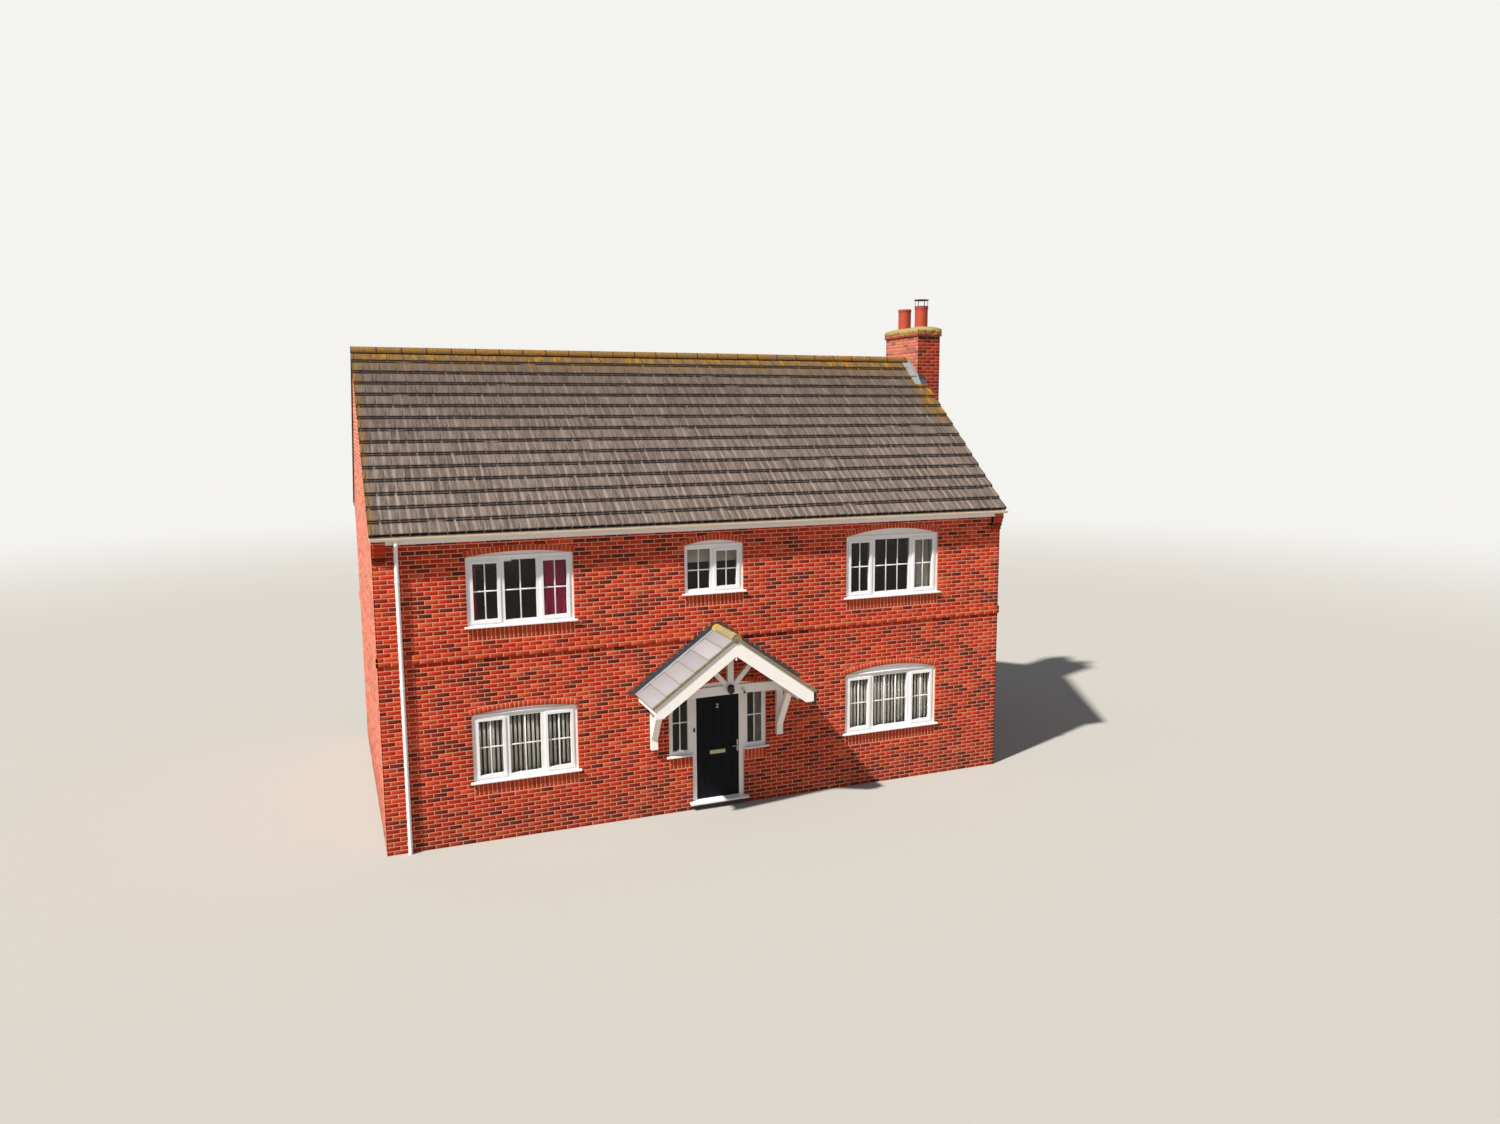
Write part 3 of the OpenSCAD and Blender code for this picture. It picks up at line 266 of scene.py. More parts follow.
def clipped(groups, a, b, c):
    """Keeps the part of each outline where a u + b z <= c: every side gives its start
    if that is inside and its crossing point, if it has one; like counts are grouped."""
    made = []
    for outlines, shade in groups:
        d = outlines @ np.array([a, b]) - c
        following, dn = np.roll(outlines, -1, 1), np.roll(d, -1, 1)
        t = d / np.where(d == dn, 1, d - dn)
        cross = outlines + t[..., None] * (following - outlines)
        n, k, _ = outlines.shape
        found = np.stack([outlines, cross], 2).reshape(n, 2 * k, 2)
        valid = np.stack([d <= 0, (d < 0) != (dn < 0)], 2).reshape(n, 2 * k)
        order = np.argsort(~valid, 1, kind="stable")
        counts = valid.sum(1)
        for m in (3, 4, 5, 6):
            pick = counts == m
            if pick.any():
                made.append((np.take_along_axis(found[pick], order[pick][:, :m, None], 1), shade[pick]))
    return made


def sides_of(low, high):
    """Base (origin, U, Z, N) of each upright side of a box, as it is seen from outside."""
    up = (0, 0, 1)
    return {
        "front": ((low.x, low.y, 0), (1, 0, 0), up, (0, -1, 0)),
        "back": ((high.x, high.y, 0), (-1, 0, 0), up, (0, 1, 0)),
        "left": ((low.x, high.y, 0), (0, -1, 0), up, (-1, 0, 0)),
        "right": ((high.x, low.y, 0), (0, 1, 0), up, (1, 0, 0)),
    }


bases = sides_of(wall_low, Vector((right_x, back_y, 0)))
# Openings on the front: left jamb, width, foot, springing, rise of the arch
ring_h = 0.1025
arch_shelf = 0.020
soldier_h = 0.225
openings = [
    (1.4525, 1.810, 3.75, 4.95, 0.07), (5.2775, 1.135, 4.05, 4.95, 0.08),
    (8.5400, 2.035, 3.75, 4.95, 0.13), (1.4525, 1.810, 1.05, 2.25, 0.07),
    (8.5400, 2.035, 1.05, 2.25, 0.13),
]
entrance = (4.940, 1.9225, 1.05, 2.25, 0.135)
door_jambs = (5.390, 6.4125)


def arc_of(opening):
    """Middle, radius and centre height of an arch: r = (w w / 4 + rise rise) / (2 rise)."""
    u, w, foot, spring, rise = opening
    radius = (w * w / 4 + rise * rise) / (2 * rise)
    return u + w / 2, radius, spring + rise - radius


def arch_hole(opening, z0, z1):
    """Span to leave free of wall bricks round one opening at a course from z0 to z1:
    soldier bricks and window up to the springing, then the half width of the arch at
    the middle of its ring, no wider than the sloping ends of the ring."""
    u, w, foot, spring, rise = opening
    middle, radius, centre = arc_of(opening)
    if foot - soldier_h < z1 and z0 < spring - joint / 2:
        return [(u, u + w)]
    if not spring - joint / 2 <= z0 < spring + rise + ring_h:
        return []
    half = math.sqrt(max(0, (radius + ring_h / 2) ** 2 - ((z0 + z1) / 2 - centre) ** 2))
    half = min(half, (w / 2 + arch_shelf) * (z0 - centre) / (spring - centre))
    return [(middle - half, middle + half)] if half > 0.03 else []


def back_holes(z0, z1):
    """Spans without bricks at one course: the holes of all windows together."""
    return [span for opening in openings for span in arch_hole(opening, z0, z1)]


def front_holes(z0, z1):
    """The same with the entrance and, under its side lights, the narrower doorway."""
    doorway = [door_jambs] if z1 < entrance[2] - soldier_h else []
    return back_holes(z0, z1) + arch_hole(entrance, z0, z1) + doorway


soffit_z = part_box("eaves_boards")[0].z
walls = {}
for name, half_first, holes in (("front", True, front_holes), ("back", False, back_holes)):
    cells = bonded(house_l, 0, int(soffit_z / course) + 1, half_first, holes)
    cells[:, 3] = np.minimum(cells[:, 3], soffit_z - 0.002)
    walls[name] = slabs(name + "_wall_bricks", fired_bricks(cells), bases[name])

pitch_degrees = 39.6
roof_slope = math.tan(math.radians(pitch_degrees))
stack_low, stack_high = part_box("chimney_stack")
stack_span = (stack_low.y - front_y, stack_high.y - front_y)
kneeler_low, kneeler_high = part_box("kneelers")
kneeler_first = round(kneeler_low.z / course)
kneeler_steps = 4


def corbel(k):
    """How far a corner brick stands out at course k: equal steps up to the full reach."""
    step = min(max(k - kneeler_first + 1, 0), kneeler_steps)
    return (front_y - kneeler_low.y) * step / kneeler_steps


for name, half_first, holes in (("left", False, nowhere), ("right", True, lambda z0, z1: [stack_span])):
    top = int(wall_high.z / course) + 1
    groups = fired_bricks(bonded(house_d, 0, top, half_first, holes, lambda k: proud + corbel(k)))
    # z <= top of the wall - |u - middle| slope, one half-plane for each side of the gable
    for sign in (-1, 1):
        groups = clipped(groups, sign * roof_slope, 1, wall_high.z + sign * roof_slope * house_d / 2 - 0.004)
    walls[name] = slabs(name + "_gable_bricks", groups, bases[name])

# Lime and cement mortar, struck flush: pale pink-buff from brick dust, fine grit in the
# surface. Inside the walls the same solids show the plaster of the rooms, painted near
# black as painted shade for the dim rooms.
mortar, add, place = start("lime_and_cement_mortar")
grit = add("TexNoise", place, Scale=260, Detail=3)
cloud = add("TexNoise", place, Scale=2.2, Detail=4)
wash = add("MixRGB", cloud, "#eaa98c", "#d28d70")
x, y, z = add("SeparateXYZ", place).outputs
deep = [add("Math", way, operation="ABSOLUTE") for way in (x, y)]
within = [add("Math", d, e - 0.12, operation="LESS_THAN") for d, e in zip(deep, (right_x, back_y))]
inside = add("Math", within[0], within[1], operation="MULTIPLY")
# painted shade: the plaster inside the walls is near black, for the dim rooms
shaded_plaster = add("MixRGB", inside, wash, "#403c38")
bump = add("Bump", Strength=0.5, Distance=0.001, Height=grit)
skin = add("BsdfPrincipled", Roughness=0.92, Specular_IOR_Level=0.2, Base_Color=shaded_plaster, Normal=bump)
add("OutputMaterial", skin)
dress(mortar, "front_wall_left", "front_wall_right", "front_wall_over_door", "back_wall", "left_gable_wall",
    "right_gable_wall", "window_arches", "soldier_courses", "kneelers", "string_course")

# Fired clay with a rough drag-faced skin: matt, each brick its own red, blotched where
# it burnt, with brown rain splash below knee height broken up by slow noise.
facing, add, place = start("rough_fired_clay_facing_brick")
fired = add("ValToRGB", add("Attribute", attribute_name="shade").outputs["Fac"])
reds = {0.0: "#55201a", 0.11: "#68231a", 0.21: "#7f2618", 0.36: "#a82c17", 0.62: "#b4311a", 0.86: "#bd391e",
    1.0: "#c55230"}
for at in list(reds)[1:-1]:
    fired.color_ramp.elements.new(at)
for element, code in zip(fired.color_ramp.elements, reds.values()):
    element.color = tone(code)
blotch = add("TexNoise", place, Scale=14, Detail=5, Roughness=0.6)
burnt = add("MapRange", blotch, 0.52, 0.75, 0, 0.45)
body = add("MixRGB", burnt, fired, "#60251c")
x, y, z = add("SeparateXYZ", place).outputs
low_down = add("MapRange", z, 0.1, 1, 0.75, 0)
drift = add("TexNoise", place, Scale=1.1, Detail=4)
splashed = add("Math", low_down, drift, operation="MULTIPLY")
body = add("MixRGB", splashed, body, "#4a2b22")
drag = add("TexNoise", place, Scale=320, Detail=3)
rough = add("Bump", Strength=0.6, Distance=0.0016, Height=drag)
dusty = {"Sheen_Weight": 0.3, "Sheen_Roughness": 0.4, "Sheen_Tint": "#ffa88c"}
skin = add("BsdfPrincipled", Roughness=0.88, Specular_IOR_Level=0.18, Base_Color=body, Normal=rough, **dusty)
add("OutputMaterial", skin)
# painted light: the sunny end wall and the sunny side of the chimney take a copy
# of the brick in paler pinks, with fewer burnt blotches
painted_sunlit_facing = facing.copy()
painted_sunlit_facing.name = "sunlit_facing_brick_painted_light"
sunlit_pinks = ("#7f4d44", "#8e5448", "#a05c4f", "#b56454", "#be6c59", "#c77764", "#d28c78")
for element, code in zip(painted_sunlit_facing.node_tree.nodes[fired.name].color_ramp.elements, sunlit_pinks):
    element.color = tone(code)
painted_sunlit_facing.node_tree.nodes[burnt.name].inputs["To Max"].default_value = 0.2
for name, piece in walls.items():
    fit(piece, painted_sunlit_facing if name == "left" else facing)

# Brick dressings: arches of bricks on edge over each window, upright bricks under each
# sill and a projecting band, all of a smoother orange-red brick than the walls.
smooth_brick, add, place = start("smooth_orange_red_facing_brick")
fired = add("MixRGB", add("Attribute", attribute_name="shade").outputs["Fac"], "#a9351d", "#c14a27")
# painted light: the band's return on the sunny end wall is painted paler pink, as that wall is
x, y, z = add("SeparateXYZ", place).outputs
sunlit_end = add("MapRange", x, left_x + 0.001, left_x - 0.001)
body = add("MixRGB", sunlit_end, fired, "#c46f58")
drag = add("TexNoise", place, Scale=240, Detail=2)
rough = add("Bump", Strength=0.3, Distance=0.001, Height=drag)
skin = add("BsdfPrincipled", Roughness=0.8, Specular_IOR_Level=0.2, Base_Color=body, Normal=rough, **dusty)
add("OutputMaterial", skin)
side_w = 0.45


def soldiers(u, w, top):
    """Upright bricks side by side under a sill, a joint at each end of the run."""
    a = u + joint + course * np.arange(round(w / course))
    a = a[a + brick_h < u + w + 0.001]
    return np.column_stack([a, a + brick_h, np.full(len(a), top - soldier_h + joint), np.full(len(a), top)])


def wedges_of(opening, trim, gap, count=None):
    """Wedges between two arcs about the arch's centre, with corners (r sin t, r cos t),
    spread evenly between the sloping ends and a gap apart."""
    u, w, foot, spring, rise = opening
    middle, radius, centre = arc_of(opening)
    half = math.atan2(w / 2 + arch_shelf, spring - centre)
    count = count or round(2 * half * radius / course) | 1
    t = -half + 2 * half / count * np.arange(count)
    t0, t1 = t + gap / radius / 2, t + 2 * half / count - gap / radius / 2
    inner, outer = radius + trim, radius + ring_h - 2 * trim
    return np.stack([np.stack([middle + r * np.sin(a), centre + r * np.cos(a)], 1)
        for r, a in ((inner, t0), (inner, t1), (outer, t1), (outer, t0))], 1)


for name, found in (("front", openings + [entrance]), ("back", openings)):
    upright = [soldiers(*o[:3]) for o in openings]
    if name == "front":
        upright += [soldiers(u, side_w, entrance[2]) for u in (entrance[0], door_jambs[1])]
    wedges = np.concatenate([wedges_of(o, 0.001, joint) for o in found])
    plates = np.concatenate([wedges_of(o, 0, 0, 48) for o in found])
    dressing = slabs(name + "_dressing_bricks", fired_bricks(np.concatenate(upright)), bases[name])
    arch = slabs(name + "_arch_bricks", [(wedges, rng.random(len(wedges)))], bases[name], out=0.0058)
    bed = slabs(name + "_arch_mortar", [(plates, 0)], bases[name], out=0.0036, edge=1e-5)
    for piece, finish in ((dressing, smooth_brick), (arch, smooth_brick), (bed, mortar)):
        fit(piece, finish)

# The projecting band between the storeys: two courses of the same smooth brick, laid
# 20 mm out from the wall and broken by the porch roof and the chimney stack.
band_low, band_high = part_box("string_course")
band_out = front_y - band_low.y + proud
band_first = round(band_low.z / course)
porch_low, porch_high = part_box("porch_slabs")
porch_x = (porch_low.x + porch_high.x) / 2
band_gap = 0.435
band_lap = 0.0006
porch_span = (porch_x - left_x - band_gap, porch_x - left_x + band_gap)
for name, run, spans in (("front", house_l, [porch_span]), ("back", house_l, []),
        ("left", house_d, []), ("right", house_d, [stack_span])):
    half_first = name in ("front", "right")
    cells = bonded(run, band_first, band_first + 2, half_first, lambda z0, z1: spans, lambda k: band_out)
    lower = cells[:, 2] < band_low.z + course / 2
    cells[lower, 2] = band_low.z - band_lap
    cells[~lower, 3] = band_high.z + band_lap
    band = slabs(name + "_band_bricks", fired_bricks(cells), bases[name], out=band_out)
    fit(band, smooth_brick)

# Corbelled corners under the verges: whole bricks, each course a little further out
# than the one below, in the facing brick of the walls.
corbel_lap = 0.0056
corbel_courses = 6
for name in ("front", "back"):
    rows, outs = [], []
    for k in range(kneeler_first, kneeler_first + corbel_courses):
        lap = corbel_lap if k < kneeler_first + kneeler_steps else 0
        z0 = k * course + joint / 2 - lap
        z1 = min((k + 1) * course - joint / 2, kneeler_high.z - 0.12)
        for u in (-proud, house_l - brick_l):
            rows.append((u, u + brick_l + proud, z0, z1))
            outs.append(corbel(k) + proud)
    kneelers = slabs(name + "_corbel_bricks", fired_bricks(rows), bases[name], out=np.array(outs))
    fit(kneelers, facing)

# Chimney: a stack of the facing brick that rises from the ground half outside the end
# wall, with two oversailing courses at its head, bedded over in lichened mortar.
def repainted(material, name, node, first, second):
    """A copy of a finish with two other colours in one of its mixes."""
    copy = material.copy()
    copy.name = name
    copy.node_tree.nodes[node.name].inputs["Color1"].default_value = tone(first)
    copy.node_tree.nodes[node.name].inputs["Color2"].default_value = tone(second)
    return copy


stack_mortar = repainted(mortar, "chimney_cement_mortar", wash, "#b5826a", "#99664f")
unplastered = stack_mortar.node_tree.nodes[shaded_plaster.name].inputs["Fac"]
stack_mortar.node_tree.links.remove(unplastered.links[0])
unplastered.default_value = 0
dress(stack_mortar, "chimney_stack")
eaves_z = 5.397
eaves_out = 0.165
stack_w, stack_d = stack_high.x - stack_low.x, stack_high.y - stack_low.y
sunk = right_x - stack_low.x
meets_z = eaves_z + (stack_low.y - front_y + eaves_out) * roof_slope
top = round(stack_high.z / course) + 1
for name, run, first, half_first, holes in (
        ("front", stack_w, 0, True, lambda z0, z1: [(-1, sunk)] if z1 < meets_z - 0.05 else []),
        ("back", stack_w, 0, True, lambda z0, z1: [(stack_w - sunk, 2)] if z1 < meets_z - 0.25 else []),
        ("left", stack_d, int((meets_z - 0.1) / course), False, nowhere),
        ("right", stack_d, 0, False, nowhere)):
    # soot and rain have darkened the face under the pots more than the sunny side
    bricks = fired_bricks(bonded(run, first, top, half_first, holes), 0.5 if name == "front" else 0.7)
    stack = slabs("chimney_" + name + "_bricks", bricks, sides_of(stack_low, stack_high)[name])
    # painted light: the sunny left face of the stack takes the paler pink copy
    fit(stack, painted_sunlit_facing if name == "left" else facing)

# Roof: flat interlocking concrete tiles, 292 mm cover, laid half-bonded in fifteen
# courses. Each tile is a thin slab with a rounded nose that lies on the course below.
tile_cover = 0.292
tile_rows = 15
eaves_run = house_d / 2 + eaves_out
ridge_z = eaves_z + eaves_run * roof_slope
row_run = eaves_run / tile_rows
tile_lip = 0.024
lip_v = tile_lip / math.cos(math.atan(roof_slope))
tile_up = 0.002
nose_up = 0.011
nose_run, nose_rise = 0.032, 0.018


def tiled_slope(name, turn):
    """Tiles of one slope: a grid of points across each tile (u) and up it (v). The
    section across has a gap, a rolled edge and a shallow channel down the middle; turn
    is -1 for the back slope, which is the front one turned half round."""
    across = np.array([0.0, 0.012, 0.024, 0.118, 0.136, 0.156, 0.174, 0.268, 0.280, 0.288])
    lift = np.array([0.0, 3.0, 0.0, 0.0, -2.2, -2.2, 0.0, 0.0, 2.0, 0.0]) / 1000
    x0, x1 = (corner.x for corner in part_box("roof_front_slope"))
    first_x = [x0 + (0.190 if i % 2 else 0.190 - tile_cover / 2) - tile_cover for i in range(tile_rows)]
    starts = [np.arange(a, x1, tile_cover) for a in first_x]
    rows = np.repeat(np.arange(tile_rows), [len(s) for s in starts])
    u = np.clip(np.concatenate(starts)[:, None] + across, x0, x1)
    whole = u[:, -1] - u[:, 0] > 0.03
    rows, u = rows[whole, None], u[whole]
    n, m = u.shape
    low, high = -eaves_run + rows * row_run, -eaves_run + (rows + 1) * row_run
    jitter = rng.normal(0, 0.0014, (n, 1))
    notch = np.zeros(m)
    notch[0], notch[-1] = 0.006, -0.006
    y_low, y_high = low + 0 * u - 0.003, high + 0 * u
    z_low = ridge_z + low * roof_slope + nose_up + lift + jitter
    z_high = ridge_z + high * roof_slope - lip_v + tile_up + lift + jitter
    z_nose = ridge_z + low * roof_slope - lip_v + 0.001 + 0 * u
    rise = (z_high - z_low - nose_rise) / (y_high - y_low - nose_run)
    # each ring up the tile: y, z, share of the notch and of the painted shade that it carries
    ring = [(y_low + 0.014, z_nose, 1, 1), (y_low, z_low - 0.010, 1, 1),
        (y_low + 0.001, z_low - 0.004, 1, 1), (y_low + 0.007, z_low, 1, 0.5),
        (y_low + nose_run, z_low + nose_rise, 0, 0),
        (y_high - 0.040, z_high - 0.040 * rise, 0, 0), (y_high - 0.020, z_high - 0.020 * rise, 0, 1),
        (y_high, z_high, 0, 1), (y_high, z_high - 0.02, 0, 1)]
    points = np.stack([np.stack([u + at * notch, y, z], 2) for y, z, at, _ in ring], 1).reshape(-1, 3)
    k = len(ring)
    grime = np.array([[dark] * m for _, _, _, dark in ring], float)
    grime[3:5, [0, -1]] = 0.7
    grid = np.arange(k * m).reshape(k, m)
    lower, upper = grid[:-1], grid[1:]
    tops = np.stack([lower[:, :-1], lower[:, 1:], upper[:, 1:], upper[:, :-1]], -1).reshape(-1, 4)
    under = np.stack([grid[-1, :-1], grid[-1, 1:], grid[0, 1:], grid[0, :-1]], -1)
    ends = np.stack([grid[:, 0][::-1], grid[:, -1]])
    first = (np.arange(n) * k * m)[:, None, None]
    faces = [(first + f[None]).reshape(-1, f.shape[1]) for f in (tops, under, ends)]
    return mesh_of(name, points * (turn, turn, 1), faces, shade=np.repeat(rng.random(n), k * m),
        grime=np.tile(grime.ravel(), n))


# Sanded concrete, weathered matt grey-brown: rain washes pale streaks down it, lichen
# takes the top courses, the verge and the corner by the chimney. The noses and the top
# of each tile under the next course are painted near black as painted shade.
tile_skin, add, place = start("weathered_sanded_concrete_tile")
x, y, z = add("SeparateXYZ", place).outputs
shade = add("Attribute", attribute_name="shade").outputs["Fac"]
body = add("MixRGB", shade, "#4e423d", "#60534c")
run = add("Mapping", place, Scale=(22, 2.4, 2.4))
streak = add("TexNoise", run, Scale=1, Detail=4, Roughness=0.6)
pale = add("MapRange", streak, 0.44, 0.76, 0, 0.6)
# rain-washed stripes every half tile: a cosine of x, sharpened and broken by the noise
phase = add("Math", x, 2 * math.pi / (tile_cover / 2), operation="MULTIPLY")
crest = add("MapRange", add("Math", phase, operation="COSINE"), 0.1)
lower = add("MapRange", z, ridge_z - 3, ridge_z - 0.9, 0.58, 0.2)
crest = add("Math", crest, lower, operation="MULTIPLY")
worn = add("Math", crest, streak, operation="MULTIPLY")
specks = add("TexNoise", place, Scale=45, Detail=2)
flecked = add("MapRange", specks, 0.62, 0.72, 0, 0.45)
shady = add("MapRange", z, ridge_z - 2, ridge_z - 0.4, 0, 0.38)
for share, code in ((pale, "#867a71"), (worn, "#aea197"), (flecked, "#b0a398"), (shady, "#453933")):
    body = add("MixRGB", share, body, code)
climb = add("MapRange", z, ridge_z - 0.75, ridge_z - 0.12, 0, 0.9)
down = add("Mapping", place, Scale=(11, 2.6, 2.6))
patch = add("TexNoise", down, Scale=1, Detail=6, Roughness=0.68)
slope_low, slope_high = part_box("roof_front_slope")
by_stack = add("MapRange", x, slope_high.x - 0.85, slope_high.x - 0.25)
high_up = add("MapRange", z, ridge_z - 1.9, ridge_z - 1.2, 0, 0.95)
by_stack = add("Math", by_stack, high_up, operation="MULTIPLY")
verge = add("MapRange", x, slope_low.x + 0.06, slope_low.x + 0.22, 0.85, 0)
where = add("Math", by_stack, verge, operation="MAXIMUM")
where = add("Math", climb, where, operation="MAXIMUM")
grown = add("Math", where, patch, operation="MULTIPLY")
spread = add("MapRange", grown, 0.22, 0.45)
hot = add("MapRange", grown, 0.44, 0.56)
crust = add("MixRGB", hot, "#695230", "#936621")
body = add("MixRGB", spread, body, crust)
# painted shade: near black on the noses and under the next course, for the shadow lines
grime = add("Attribute", attribute_name="grime").outputs["Fac"]
body = add("MixRGB", grime, body, "#090606")
sand = add("TexNoise", place, Scale=420, Detail=2)
rough = add("Bump", Strength=0.5, Distance=0.0012, Height=sand)
skin = add("BsdfPrincipled", Roughness=0.9, Specular_IOR_Level=0.15, Base_Color=body, Normal=rough)
add("OutputMaterial", skin)
for name, turn in (("front_roof_tiles", 1), ("back_roof_tiles", -1)):
    fit(tiled_slope(name, turn), tile_skin)
dress(tile_skin, "roof_front_slope", "roof_back_slope")

# White frames, sills, gutters and boards: extruded uPVC that left the die with a satin
# skin, which gives the eye a clean edge light and a very faint grey bloom from rain.
upvc, add, place = start("satin_extruded_white_upvc")
bloom = add("TexNoise", place, Scale=5, Detail=4)
grey = add("MixRGB", bloom, "#f2f1f4", "#e4e3e7")
satin = add("MapRange", bloom, 0, 1, 0.28, 0.42)
add("OutputMaterial", add("BsdfPrincipled", Base_Color=grey, Roughness=satin))
dress(upvc, "front_window_frames", "back_window_frames", "window_sills", "door_frame", "door_sill",
    "downpipes", "eaves_boards")
# the gutters face the sun all day and have yellowed more than the frames
dress(repainted(upvc, "sun_yellowed_upvc", grey, "#f3ead9", "#e0d2bb"), "gutters")

# Sealed glass units: clear float glass, dark against the rooms behind. Lamps shine
# through it, so blinds and curtains are lit as they are in a real window.
clear_glass, add, place = start("clear_float_glass")
skin = add("BsdfPrincipled", Base_Color="#dddedd", Roughness=0, IOR=1.3, Transmission_Weight=1)
through = add("BsdfTransparent", Color="#e6e8e7")
lamp_ray = add("LightPath").outputs["Is Shadow Ray"]
add("OutputMaterial", add("MixShader", lamp_ray, skin, through))
dress(clear_glass, "front_window_glass", "back_window_glass")

# Glazing bars: chamfered white strips stuck to the outer glass, one upright bar in a
# light and two in the middle light of the widest windows, with one bar across each.
bar_w = 0.022
bar_out = 0.008
glass_in = 0.0582
pane_foot, pane_head = 0.095, 0.080
sash_w, sash_foot, sash_head, sash_reach = 0.402, 0.123, 0.126, 0.316
bar_up, small_bar_up = 0.605, 0.44
small_pane_w, small_pane_off, small_sash_off = 0.433, 0.286, 0.2515


def set_in(base, depth):
    """A wall's base moved back from its face."""
    origin, across, up, normal = (np.array(v, float) for v in base)
    return origin - normal * depth, across, up, normal


def lights(opening):
    """Panes of one window: centre, width, foot, head, columns and height of the bar."""
    u, w, foot, spring, rise = opening
    middle = u + w / 2
    pane = (foot + pane_foot, spring - pane_head)
    sash = (foot + sash_foot, spring - sash_head, 2)
    if w < 1.5:
        level = foot + small_bar_up
        return [(middle - small_pane_off, small_pane_w, *pane, 2, level),
            (middle + small_sash_off, sash_w, *sash, level)]
    level = foot + bar_up
    return [(middle, w - 1.274, *pane, 3 if w > 2 else 2, level)] + [
        (middle + s * (w / 2 - sash_reach), sash_w, *sash, level) for s in (-1, 1)]


def glazing(panes):
    """Rows u0, u1, z0, z1 of bars: uprights at even parts of the width, and the cross
    bar cut between them so that no two faces share a plane."""
    rows = []
    for c, w, z0, z1, columns, level in panes:
        cuts = c - w / 2 + w * np.arange(1, columns) / columns
        rows += [(at - bar_w / 2, at + bar_w / 2, z0, z1) for at in cuts]
        between = np.repeat(cuts, 2) + np.tile([-bar_w / 2, bar_w / 2], len(cuts))
        edges = np.concatenate([[c - w / 2], between, [c + w / 2]]).reshape(-1, 2)
        rows += [(a, b, level - bar_w / 2, level + bar_w / 2) for a, b in edges]
    return rows


side_panes = [(entrance[0] + s, 0.29, 1.15, 2.17, 2, 1.68) for s in (side_w / 2, entrance[1] - side_w / 2)]
for name, extra in (("front", side_panes), ("back", [])):
    strips = boxes(glazing([pane for o in openings for pane in lights(o)] + extra))
    bars = slabs(name + "_glazing_bars", [(strips, 0)], set_in(bases[name], glass_in),
        out=bar_out, back=0, edge=0.004)
    fit(bars, upvc)

# Arched panels over the windows: a plain board fills the arch, and a thin drip strip
# covers the joint between its foot and the straight head of the frame.
frame_face = 0.035
for name in ("front", "back"):
    feet = [(u + 0.002, u + w - 0.002, spring - 0.016, spring + 0.008) for u, w, _, spring, _ in openings]
    drips = slabs(name + "_drip_strips", [(boxes(feet), 0)], set_in(bases[name], frame_face),
        out=0.020, back=0.002, edge=0.004)
    fit(drips, upvc)

# Vertical blinds in the two lower windows: stiff cream louvres, slightly curved, each
# turned on its carrier under a headrail so that dark gaps show between them.
blind_pitch = 0.076
louvre_w = 0.062
louvre_t = 0.0012
blind_in = 0.160


def louvres(name, u0, u1, z0, z1, angle):
    """Upright strips: a shallow arc of 8 points by two faces is the section, turned by
    the louvre angle about each carrier and drawn straight from the foot to the top."""
    t = np.linspace(-0.5, 0.5, 8)
    arc = np.stack([t * louvre_w, 0.006 * (1 - 4 * t * t)], 1)
    a, b = np.concatenate([arc, arc[::-1] + (0, louvre_t)]).T
    at = np.arange(u0 + blind_pitch / 2, u1, blind_pitch)
    n, k = len(at), len(a)
    turn = (math.radians(angle) + rng.normal(0, 0.035, n))[:, None]
    x = at[:, None] + a * np.cos(turn) - b * np.sin(turn)
    y = front_y + blind_in + a * np.sin(turn) + b * np.cos(turn)
    points = np.stack([np.stack([x, y, x * 0 + z], 2) for z in (z0, z1)], 1)
    return mesh_of(name, points.reshape(-1, 3), ring_faces(2, k, n), shade=np.repeat(rng.random(n), 2 * k))


# woven PVC-coated cloth: matt, each louvre a slightly different cream, a 1.7 mm weave
woven_pvc, add, place = start("cream_woven_louvre_fabric")
weave = add("TexNoise", place, Scale=600, Detail=2)
own = add("Attribute", attribute_name="shade").outputs["Fac"]
cream = add("MixRGB", own, "#f4f0e8", "#e6e0d6")
nap = add("Bump", Strength=0.1, Distance=0.0003, Height=weave)
add("OutputMaterial", add("BsdfPrincipled", Roughness=0.85, Base_Color=cream, Normal=nap))
for number, (opening, angle) in enumerate(zip(openings[3:], (38, 18))):
    u, w, foot, spring, rise = opening
    fit(louvres("lower_window_louvres_%d" % number, left_x + u + 0.03, left_x + u + w - 0.03,
        foot + 0.06, spring - 0.05, angle), woven_pvc)
    rail = boxes([(u + 0.01, u + w - 0.01, spring - 0.052, spring - 0.012)])
    head = slabs("blind_headrail_%d" % number, [(rail, 0)], set_in(bases["front"], 0.185),
        out=0.05, back=0, edge=0.003)
    fit(head, upvc)

# Curtains in the upper windows: plain woven cloth gathered on a rail, plum red on the
# left and grey on the right, and a blind of cream cloth on a roller in the small window.
def hang(name, cloth, u0, u1, z0, z1, folds, depth=0.022, inside=0.19):
    """A gathered sheet: x runs evenly along the rail with a sway that grows towards the
    hem, and y is a sine of the fold number, deeper and less regular lower down."""
    a, b = np.meshgrid(np.linspace(0, 1, folds * 12 + 1), np.linspace(0, 1, 25), indexing="ij")
    phase = 2 * math.pi * folds * a + 0.7 * np.sin(5.3 * a + 2.1 * b)
    x = left_x + u0 + (u1 - u0) * a + 0.012 * np.sin(phase * 0.5 + 3 * b) * (1 - b)
    deep = depth * (0.65 + 0.35 * (1 - b)) * (0.8 + 0.2 * np.sin(11 * a + 4 * b))
    points = np.stack([x, front_y + inside + deep * np.sin(phase), z0 + (z1 - z0) * b], 2)
    grid = np.arange(a.size).reshape(a.shape)
    quads = np.stack([grid[:-1, :-1], grid[1:, :-1], grid[1:, 1:], grid[:-1, 1:]], -1).reshape(-1, 4)
    piece = mesh_of(name, points.reshape(-1, 3), [quads], smooth=True)
    fit(piece, cloth)


